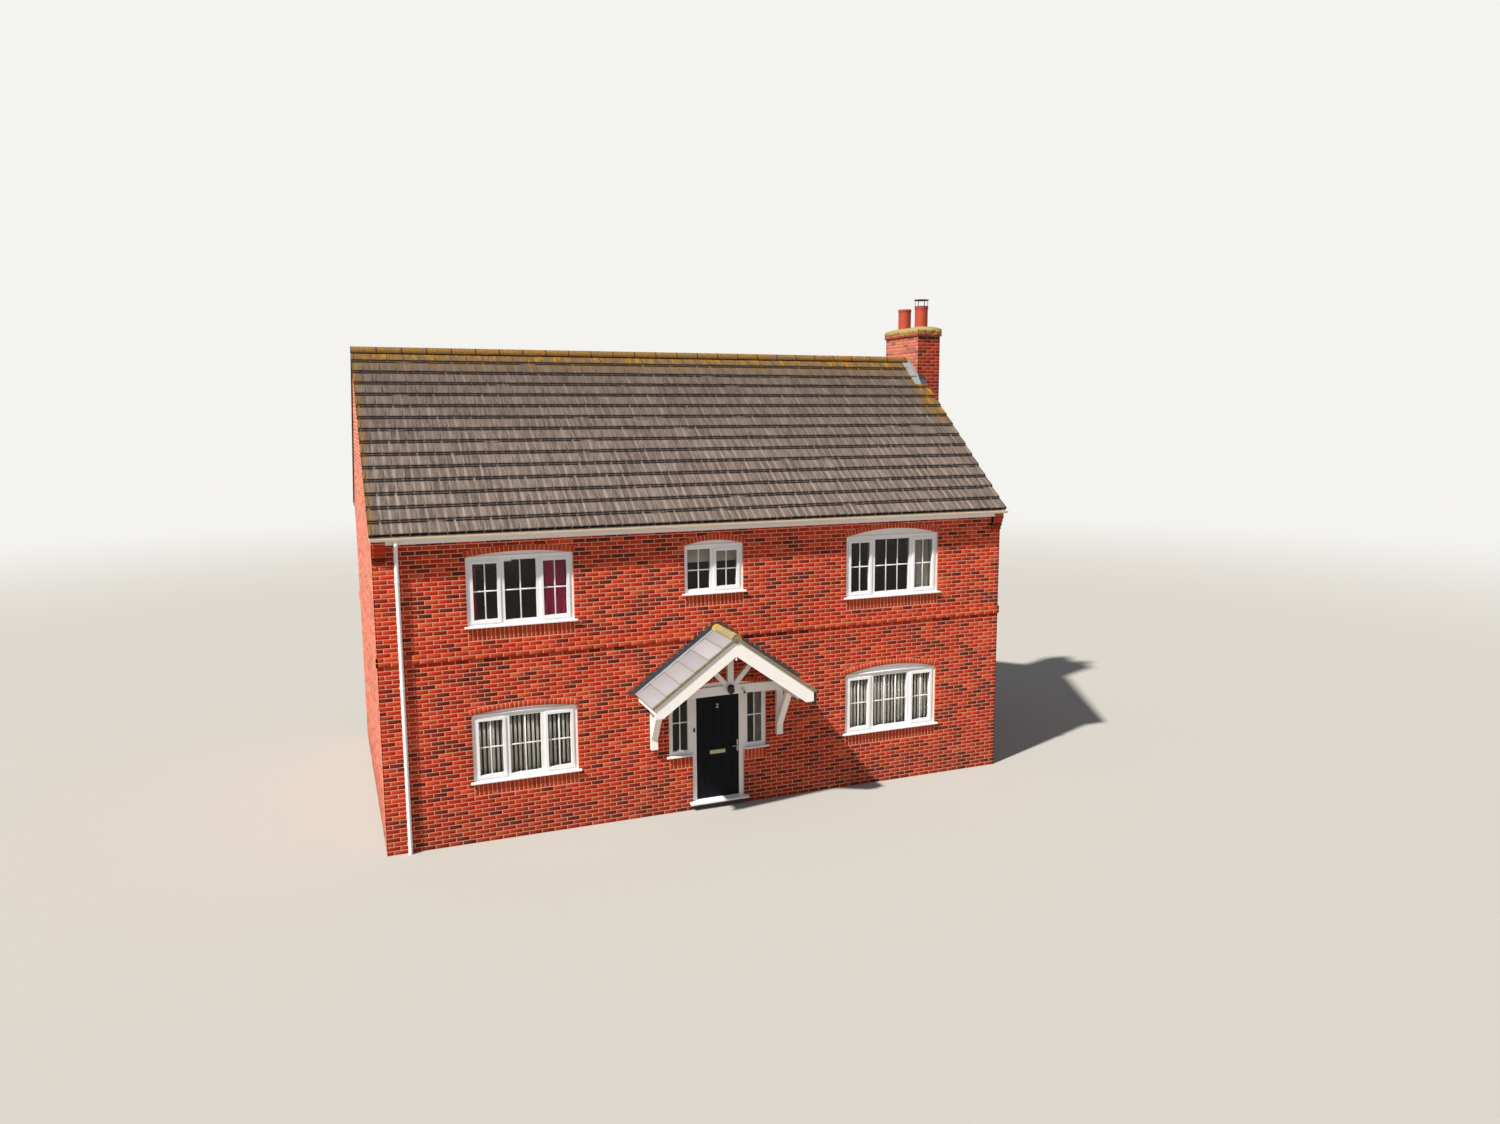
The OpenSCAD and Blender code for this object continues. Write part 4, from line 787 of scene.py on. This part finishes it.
def curtain_cloth(name, warp, weft):
    """Plain weave: threads drawn out upright as a stretched noise and a fine nap, about
    twice as coarse as the real cloth so that they show."""
    cloth, add, place = start(name)
    coarse = add("TexNoise", place, Scale=900, Detail=2)
    slub = add("Mapping", place, Scale=(500, 500, 40))
    drawn = add("TexNoise", slub, Scale=1, Detail=3)
    dye = add("MixRGB", drawn, warp, weft)
    nap = add("Bump", Strength=0.1, Distance=0.0004, Height=coarse)
    skin = add("BsdfPrincipled", Roughness=0.9, Specular_IOR_Level=0.2, Base_Color=dye, Normal=nap)
    add("OutputMaterial", skin)
    return cloth


plum = curtain_cloth("plum_red_curtain_cloth", "#c41a60", "#a8124e")
grey_cloth = curtain_cloth("warm_grey_curtain_cloth", "#b9b2a8", "#a49c93")
for name, cloth, opening, u0, u1, folds in (
        ("plum_curtain_right", plum, openings[0], 1.30, 1.80, 5),
        ("plum_curtain_left", plum, openings[0], 0.01, 0.19, 3),
        ("grey_curtain_right", grey_cloth, openings[2], 1.52, 2.02, 5),
        ("grey_curtain_left", grey_cloth, openings[2], 0.01, 0.17, 3)):
    u, w, foot, spring, rise = opening
    hang(name, cloth, u + u0, u + u1, foot + 0.045, spring - 0.03, folds)
c, w, z0, z1, columns, level = side_panes[1]
hang("side_light_curtain", grey_cloth, c + 0.03, c + 0.19, z0 - 0.06, z1 + 0.05, 2, 0.018)
u, w, foot, spring, rise = openings[1]
blind_cloth = curtain_cloth("cream_roller_blind_cloth", "#ddd5c8", "#cfc5b5")
hang("small_window_blind", blind_cloth, u + 0.03, u + w - 0.03, spring - 0.34, spring - 0.03,
    folds=2, depth=0.0006, inside=0.24)

# Rooms: the floors are a cement screed below, grey and cloudy from the float, and planed
# deal boards of 140 mm above, with the grain along them. Both are given darker colours
# than the real screed and boards, as painted shade for the dim rooms.
def mottled(name, tones, noise, bump=None, stretch=None, **gloss):
    """A finish of two tones mixed by one noise (scale, detail, roughness), which also
    gives the bump (strength, metres) if there is one; stretch is its scale by axis."""
    material, add, place = start(name)
    if stretch:
        place = add("Mapping", place, Scale=stretch)
    cloud = add("TexNoise", place, **dict(zip(("Scale", "Detail", "Roughness"), noise)))
    mixed = add("MixRGB", cloud, tones[0], tones[1])
    if bump:
        gloss["Normal"] = add("Bump", Strength=bump[0], Distance=bump[1], Height=cloud)
    add("OutputMaterial", add("BsdfPrincipled", Base_Color=mixed, **gloss))
    return material


dress(mottled("floated_cement_screed", ("#565350", "#4a4744"), (1.5, 6), Roughness=0.85), "ground_floor")
deal, add, place = start("planed_deal_floor_boards")
lay = add("Mapping", place, Scale=(0.6, 1 / 0.14, 1))
lengthways = add("Mapping", place, Scale=(3, 60, 60))
grain = add("TexNoise", lengthways, Scale=1, Detail=4)
boards = add("TexBrick", lay, Color1="#624d33", Color2="#6f593f", Mortar="#3a2b1d", Scale=1,
    Mortar_Size=0.012, Brick_Width=1.6, Row_Height=1)
wood = add("MixRGB", 0.35, boards, grain, blend_type="MULTIPLY")
add("OutputMaterial", add("BsdfPrincipled", Roughness=0.5, Base_Color=wood))
dress(deal, "upper_floor")

# Ridge: half-round concrete tiles butted and bedded in mortar, grown over with yellow
# and brown lichen; the mortar in each open joint is darker.
ridge_low, ridge_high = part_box("ridge_tiles")
ridge_step = 0.456
ridge_skin, add, place = start("half_round_ridge_tile_with_lichen")
x, y, z = add("SeparateXYZ", place).outputs
grown = add("TexNoise", place, Scale=9, Detail=7, Roughness=0.7)
old = add("MixRGB", grown, "#63513d", "#715f48")
brown = add("MapRange", grown, 0.40, 0.56)
crust = add("MixRGB", brown, old, "#7a5a25")
spots = add("TexNoise", place, Scale=23, Detail=5, Roughness=0.6)
bright = add("MapRange", spots, 0.52, 0.66, 0, 0.85)
lichen = add("MixRGB", bright, crust, "#a97018")
# dark mortar lines: the fraction of x over one tile's length, within 12 mm of its end
from_end = add("Math", x, ridge_low.x - 0.003, operation="SUBTRACT")
turns = add("Math", from_end, ridge_step, operation="DIVIDE")
share = add("Math", turns, operation="FRACT")
off = add("Math", add("Math", share, 0.5, operation="SUBTRACT"), operation="ABSOLUTE")
seam = add("MapRange", off, 0.468, 0.488, 0, 0.85)
# painted shade: the lowest few centimetres of the ridge tiles turn near black, for the shadow under their
# edge
edge = add("MapRange", z, ridge_low.z + 0.010, ridge_low.z + 0.038, 0.95, 0)
both = add("Math", seam, edge, operation="MAXIMUM")
lichen_and_painted_shade = add("MixRGB", both, lichen, "#19140d")
pits = add("Bump", Strength=0.7, Distance=0.003, Height=grown)
skin = add("BsdfPrincipled", Roughness=0.92, Specular_IOR_Level=0.2, Base_Color=lichen_and_painted_shade, Normal=pits)
add("OutputMaterial", skin)
dress(ridge_skin, "ridge_tiles")

# Chimney head: two oversailing courses of brick under sloped mortar, all with a
# yellow-green crust of lichen that thins out downwards.
head_skin, add, place = start("cement_flaunching_with_lichen")
crumb = add("TexNoise", place, Scale=14, Detail=7, Roughness=0.7)
bare = add("MixRGB", crumb, "#796947", "#ae9661")
dark = add("MapRange", crumb, 0.53, 0.68, 0, 0.85)
crust = add("MixRGB", dark, bare, "#5f582c")
pits = add("Bump", Strength=0.8, Distance=0.004, Height=crumb)
add("OutputMaterial", add("BsdfPrincipled", Roughness=0.95, Base_Color=crust, Normal=pits))
cap_low, cap_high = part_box("chimney_cap")
neck = stack_low.x - cap_low.x
head_z = top * course


def mound(rings):
    """A closed heap of rectangles: each ring is the cap's outline moved in by an inset
    at a height, joined to the next ring by four faces."""
    inset, z = np.array(rings).T
    x0, x1, y0, y1 = cap_low.x + inset, cap_high.x - inset, cap_low.y + inset, cap_high.y - inset
    points = np.stack([np.stack([x, y, z], 1) for x, y in ((x0, y0), (x1, y0), (x1, y1), (x0, y1))], 1)
    return points.reshape(-1, 3), ring_faces(len(rings), 4)


head = mesh_of("chimney_head_mortar", *mound([(neck, stack_high.z), (neck, head_z), (0.001, head_z),
    (0.0, head_z + 0.15), (0.012, head_z + 0.168), (0.04, head_z + 0.186), (0.09, head_z + 0.206),
    (0.14, head_z + 0.220), (0.20, head_z + 0.226)]))
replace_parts(fit(head, head_skin), "chimney_cap")
crusted, add, place = start("oversailing_brick_with_lichen")
own = add("Attribute", attribute_name="shade").outputs["Fac"]
clay = add("MixRGB", own, "#7d2e1f", "#983f28")
patch = add("TexNoise", place, Scale=11, Detail=6, Roughness=0.65)
x, y, z = add("SeparateXYZ", place).outputs
climb = add("MapRange", z, head_z + 0.02, head_z + 0.15, -0.14, 0.22)
amount = add("Math", patch, climb, operation="ADD")
cover = add("MapRange", amount, 0.46, 0.62)
crust = add("MixRGB", cover, clay, "#93843e")
pits = add("Bump", Strength=0.7, Distance=0.002, Height=patch)
add("OutputMaterial", add("BsdfPrincipled", Roughness=0.92, Base_Color=crust, Normal=pits))
cap_w, cap_d = cap_high.x - cap_low.x, cap_high.y - cap_low.y
for name, run in (("front", cap_w), ("back", cap_w), ("left", cap_d), ("right", cap_d)):
    bricks = fired_bricks(bonded(run, top, top + 2, run == cap_w))
    oversail = slabs("chimney_head_" + name + "_bricks", bricks, sides_of(cap_low, cap_high)[name])
    fit(oversail, crusted)

# Chimney pots: thrown and fired red clay with a rolled rim, bedded in the mortar of the
# chimney head and smoked a little at the top.
smoke_z = (9.55, 9.70)
pot_clay, add, place = start("fired_red_terracotta")
x, y, z = add("SeparateXYZ", place).outputs
fire = add("TexNoise", place, Scale=7, Detail=5)
clay = add("MixRGB", fire, "#ae4226", "#963520")
high = add("MapRange", z, *smoke_z, 0, 0.4)
smoked = add("MixRGB", high, clay, "#702a1c")
throwing = add("Mapping", place, Scale=(2, 2, 90))
rings = add("TexNoise", throwing, Scale=1, Detail=2)
turned_clay = add("Bump", Strength=0.4, Distance=0.002, Height=rings)
add("OutputMaterial", add("BsdfPrincipled", Roughness=0.7, Base_Color=smoked, Normal=turned_clay))
dress(pot_clay, "chimney_pots")

# Cowl over the front pot: a guard of galvanised sheet and bars that stands in the pot
# and that smoke has dulled to dark grey.
sooty_steel = mottled("smoke_dulled_galvanised_steel", ("#141517", "#27292c"), (25, 5),
    Roughness=0.7, Specular_IOR_Level=0.25)
dress(sooty_steel, "chimney_cowl")

# Lead: milled sheet dressed over the tiles and turned up the brick. It weathers to a
# pale grey bloom where rain runs; the apron round the front of the stack is painted
# dark as painted shade.
milled_lead, add, place = start("weathered_milled_lead_sheet")
bloom = add("TexNoise", place, Scale=12, Detail=6, Roughness=0.6)
oxide = add("MixRGB", bloom, "#7c8086", "#989ca1")
# painted shade: all lead past the left face of the stack, the apron turned from the sun, is painted dark
x, y, z = add("SeparateXYZ", place).outputs
shaded_apron = add("Math", x, stack_low.x + 0.002, operation="GREATER_THAN")
oxide_and_painted_shade = add("MixRGB", shaded_apron, oxide, "#43474c")
beaten = add("Bump", Strength=0.5, Distance=0.004, Height=bloom)
skin = add("BsdfPrincipled", Roughness=0.6, Metallic=0.3, Base_Color=oxide_and_painted_shade, Normal=beaten)
add("OutputMaterial", skin)
dress(milled_lead, "chimney_flashing")
fresh_lead = mottled("dark_stepped_lead_flashing", ("#36393f", "#565a60"), (16, 5), (0.4, 0.002),
    Roughness=0.5, Metallic=0.4)
dress(fresh_lead, "porch_flashing")

# Porch: six rows of smooth grey slabs on each slope, brown bedding in the joints between
# them, a pale lead strip along the wall and moss on the front edges.
porch_half, porch_reach, porch_rows = 1.56, 1.02, 6
porch_top, porch_lip = 3.44, 0.010
porch_slope = math.tan(math.radians(35.7))
porch_run = porch_half / porch_rows
lip_drop = porch_lip * math.sqrt(1 + porch_slope ** 2)
strip_w = 0.088


def pitched(side, run0, run1, drop):
    """Base of a patch of a porch slope from run0 to run1 out from the ridge, its upper
    edge lowered by drop: origin, U along the depth, V up the slope and N = U x V."""
    foot = np.array([porch_x + side * run1, 0, porch_top - run1 * porch_slope])
    head = np.array([porch_x + side * run0, 0, porch_top - run0 * porch_slope - drop])
    length = np.linalg.norm(head - foot)
    up = (head - foot) / length
    origin = foot + (0, front_y if side < 0 else front_y - porch_reach, 0)
    across = np.array([0, side, 0])
    return (origin, across, up, np.cross(across, up)), length


solids, shades = [], []
for side in (-1, 1):
    u0, u1 = (strip_w, porch_reach - 0.001) if side < 0 else (0.001, porch_reach - strip_w)
    for row in range(porch_rows):
        base, length = pitched(side, row * porch_run, (row + 1) * porch_run, lip_drop)
        solids.append(prisms(boxes([(u0, u1, 0.001, length - 0.006)]), base, 0.006, 0.004, 0.003))
        shades.append(np.full(len(solids[-1][0]), rng.random()))
# pressed concrete with a smooth lilac-grey face, stained in clouds and mossy at the rim
stone, add, place = start("smooth_grey_concrete_slab")
own = add("Attribute", attribute_name="shade").outputs["Fac"]
cloud = add("TexNoise", place, Scale=3.5, Detail=6, Roughness=0.6)
cast = add("MixRGB", own, "#7f7e82", "#8e8c90")
stained = add("MapRange", cloud, 0.5, 0.8, 0, 0.35)
worn = add("MixRGB", stained, cast, "#867e75")
x, y, z = add("SeparateXYZ", place).outputs
edge_y = front_y - porch_reach
rim = add("MapRange", y, edge_y + 0.01, edge_y + 0.055, 1, 0)
patch = add("TexNoise", place, Scale=18, Detail=6, Roughness=0.7)
thick = add("MapRange", patch, 0.36, 0.52)
cover = add("Math", rim, thick, operation="MULTIPLY")
mossy = add("MixRGB", cover, worn, "#817555")
grain = add("TexNoise", place, Scale=300, Detail=2)
face = add("Bump", Strength=0.3, Distance=0.0008, Height=grain)
add("OutputMaterial", add("BsdfPrincipled", Roughness=0.8, Base_Color=mossy, Normal=face))
fit(joined("porch_roof_slabs", solids, shade=np.concatenate(shades)), stone)
bedding = mottled("brown_cement_bedding_with_moss", ("#4b4133", "#a3987c"), (20, 6, 0.7), (0.6, 0.002),
    Roughness=0.95)
dress(bedding, "porch_slabs")
for name, side in (("left", -1), ("right", 1)):
    base, length = pitched(side, 0.085, porch_half, 0)
    u0, u1 = (0.0, strip_w - 0.006) if side < 0 else (porch_reach - strip_w + 0.006, porch_reach)
    strip = slabs("porch_wall_strip_" + name, [(boxes([(u0, u1, 0.0, length)]), 0)], base,
        out=0.011, back=0.004, edge=0.003)
    fit(strip, milled_lead)

# Porch ridge: two half-round tiles with bright yellow lichen at the wall and along
# their crown, duller brown-green elsewhere.
porch_ridge, add, place = start("porch_ridge_tile_with_yellow_lichen")
patch = add("TexNoise", place, Scale=8, Detail=6, Roughness=0.65)
dull = add("MixRGB", patch, "#726848", "#91865e")
x, y, z = add("SeparateXYZ", place).outputs
right_side = add("MapRange", x, porch_x - 0.03, porch_x + 0.05, -0.10, 0.14)
near_wall = add("MapRange", y, front_y - 0.45, front_y - 0.05, 0, 0.16)
amount = add("Math", right_side, near_wall, operation="ADD")
amount = add("Math", amount, patch, operation="ADD")
cover = add("MapRange", amount, 0.50, 0.64)
lichen = add("MixRGB", cover, dull, "#c29518")
pits = add("Bump", Strength=0.6, Distance=0.002, Height=patch)
add("OutputMaterial", add("BsdfPrincipled", Roughness=0.92, Base_Color=lichen, Normal=pits))
dress(porch_ridge, "porch_ridge_tiles")

# Porch timbers: planed softwood under white gloss paint, a little yellowed, with the
# grain just telling through.
painted_wood = mottled("white_painted_softwood", ("#fbf9f8", "#f0ebe6"), (1, 6, 0.6), (0.25, 0.001),
    (14, 14, 14), Roughness=0.42)
dress(painted_wood, "porch_truss", "porch_barge_boards", "porch_brackets")

# Front door: a moulded skin over a solid core, hung in the white frame and painted
# satin navy black, with a wood grain pressed into it upright.
door_paint = mottled("satin_navy_black_door_paint", ("#04060c", "#080d1c"), (1, 3), (0.25, 0.0006),
    (260, 260, 9), Roughness=0.42, Specular_IOR_Level=0.14)
dress(door_paint, "front_door")

# Door furniture: a brushed letter plate of pale worn brass and a lever of satin steel,
# with the hinges in the same steel. The brush lines run along the pieces.
pale_brass = mottled("brushed_pale_brass", ("#b6ab8d", "#cbc2a8"), (1, 2), None, (20, 20, 900),
    Roughness=0.42, Metallic=0.75)
dress(pale_brass, "letter_plate")
satin_steel = mottled("satin_brushed_steel", ("#a3a09b", "#bbb9b3"), (1, 2), None, (900, 900, 30),
    Roughness=0.32, Metallic=0.9)
dress(satin_steel, "door_handle", "door_hinges", "door_knuckles")

# The house number: a plain numeral cut from grey metal sheet, screwed to the middle
# stile of the door over the letter plate.
door_low, door_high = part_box("front_door")
numeral_h = 0.078
numeral_z = 1.885
numeral_in = 0.0018
numeral_curve = bpy.data.curves.new("numeral_outline", "FONT")
numeral_curve.body = "2"
numeral_curve.size = 0.11
numeral_curve.extrude = 0.002
numeral_curve.offset = 0.001
numeral_curve.align_x = "CENTER"
drawn = bpy.data.objects.new("numeral_outline", numeral_curve)
bpy.context.scene.collection.objects.link(drawn)
flat_mesh = drawn.to_mesh()
verts = np.array([v.co for v in flat_mesh.vertices])
outline = [tuple(p.vertices) for p in flat_mesh.polygons]
drawn.to_mesh_clear()
bpy.data.objects.remove(drawn)
x, y, z = (verts - (verts[:, 0].mean(), verts[:, 1].min(), 0)).T
scale = numeral_h / np.ptp(y)
door_x = (door_low.x + door_high.x) / 2
verts = np.stack([x * scale + door_x, door_low.y - numeral_in - z, y * scale + numeral_z], 1)
faces = [np.array([f for f in outline if len(f) == n]) for n in sorted(set(map(len, outline)))]
numeral = mesh_of("door_numeral", verts, faces)
cut_metal = mottled("grey_cut_metal", ("#d0d0d1", "#e4e4e4"), (120, 2), Roughness=0.4, Metallic=0.2)
fit(numeral, cut_metal, "door_leaf")

# Ridge ends: the open end of each ridge is stopped with the mortar that beds the last
# tile, struck off in a shallow dome.
def turned(profile, sides, centre, way):
    """Points and faces of a closed turned solid: one ring of the given number of sides
    at each radius and height of the profile, about an axis along way."""
    radius, height = np.array(profile).T
    around = (np.arange(sides) + 0.5) * 2 * math.pi / sides
    axis = Vector(way).normalized()
    across = axis.orthogonal().normalized()
    rim = np.outer(np.cos(around), across) + np.outer(np.sin(around), axis.cross(across))
    points = np.array(centre) + radius[:, None, None] * rim + height[:, None, None] * np.array(axis)
    return points.reshape(-1, 3), ring_faces(len(profile), sides)


crown_low, crown_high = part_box("porch_ridge_tiles")
main_stop = turned([(0.079, -0.020), (0.079, 0.004), (0.060, 0.010)], 32,
    (ridge_low.x + 0.012, 0, ridge_high.z - 0.095), (-1, 0, 0))
porch_stop = turned([(0.074, -0.020), (0.074, 0.004), (0.058, 0.010)], 32,
    ((crown_low.x + crown_high.x) / 2, crown_low.y + 0.012, crown_high.z - 0.090), (0, -1, 0))
fit(mesh_of("ridge_end_mortar", *main_stop), ridge_skin)
fit(mesh_of("porch_ridge_end_mortar", *porch_stop), porch_ridge)

# Bell push and lantern: moulded black ABS beside the door, and a six-sided case of
# lacquered steel hung from a round plate on the tie beam.
black_abs = mottled("moulded_black_abs", ("#0f0d0f", "#1e191b"), (400, 2),
    Roughness=0.4, Specular_IOR_Level=0.2)
dress(black_abs, "doorbell")
tie_face = front_y - 0.71
lantern_x, lantern_z = -0.160, 2.455
plate = turned([(0.040, 0), (0.044, 0.004), (0.040, 0.014)], 24,
    (lantern_x, tie_face, lantern_z - 0.010), (0, -1, 0))
case = turned([(0.004, -0.092), (0.030, -0.088), (0.066, -0.052), (0.072, -0.045), (0.058, 0.040),
    (0.066, 0.044), (0.062, 0.052), (0.030, 0.074), (0.008, 0.080)], 6,
    (lantern_x, tie_face - 0.082, lantern_z), (0, 0, 1))
lacquered = mottled("brown_black_lacquered_steel", ("#191113", "#2c2025"), (90, 3), Roughness=0.45)
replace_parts(fit(joined("porch_lantern_case", [plate, case]), lacquered), "porch_lantern")

# Security cameras: a small white bullet on a foot beside the lantern, with a dark glass
# end, and a black case with a ball under it at the right eaves, all of moulded ABS.
camera_case, add, place = start("moulded_white_and_black_abs")
x, y, z = add("SeparateXYZ", place).outputs
black_end = add("Math", x, porch_x + 0.6, operation="GREATER_THAN")
lens = add("Math", y, tie_face - 0.082, operation="LESS_THAN")
dark_part = add("Math", black_end, lens, operation="MAXIMUM")
cloud = add("TexNoise", place, Scale=300, Detail=2)
white = add("MixRGB", cloud, "#ebebe9", "#dcdcda")
both = add("MixRGB", dark_part, white, "#141516")
add("OutputMaterial", add("BsdfPrincipled", Roughness=0.35, Base_Color=both))
foot = turned([(0.036, 0), (0.040, 0.006), (0.030, 0.018)], 24, (0.090, tie_face, 2.405), (0, -1, 0))
bullet = turned([(0.018, 0), (0.026, 0.006), (0.028, 0.086), (0.020, 0.088), (0.019, 0.084)], 24,
    (0.092, tie_face - 0.012, 2.398), (0.1, -0.83, -0.50))
eaves_x, eaves_y = 1.396, front_y - 0.965
body = turned([(0.040, -0.10), (0.044, -0.09), (0.044, 0.09), (0.040, 0.10)], 4,
    (eaves_x, eaves_y, 2.215), (0, 0, 1))
ball_r = 0.043
half_turn = np.linspace(0.15, math.pi - 0.15, 12)
ball = turned([(ball_r * math.sin(a), -ball_r * math.cos(a)) for a in half_turn], 24,
    (eaves_x - 0.006, eaves_y, 2.088), (0, 0, 1))
cameras = joined("security_camera_cases", [foot, bullet, body, ball])
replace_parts(fit(cameras, camera_case), "security_cameras")
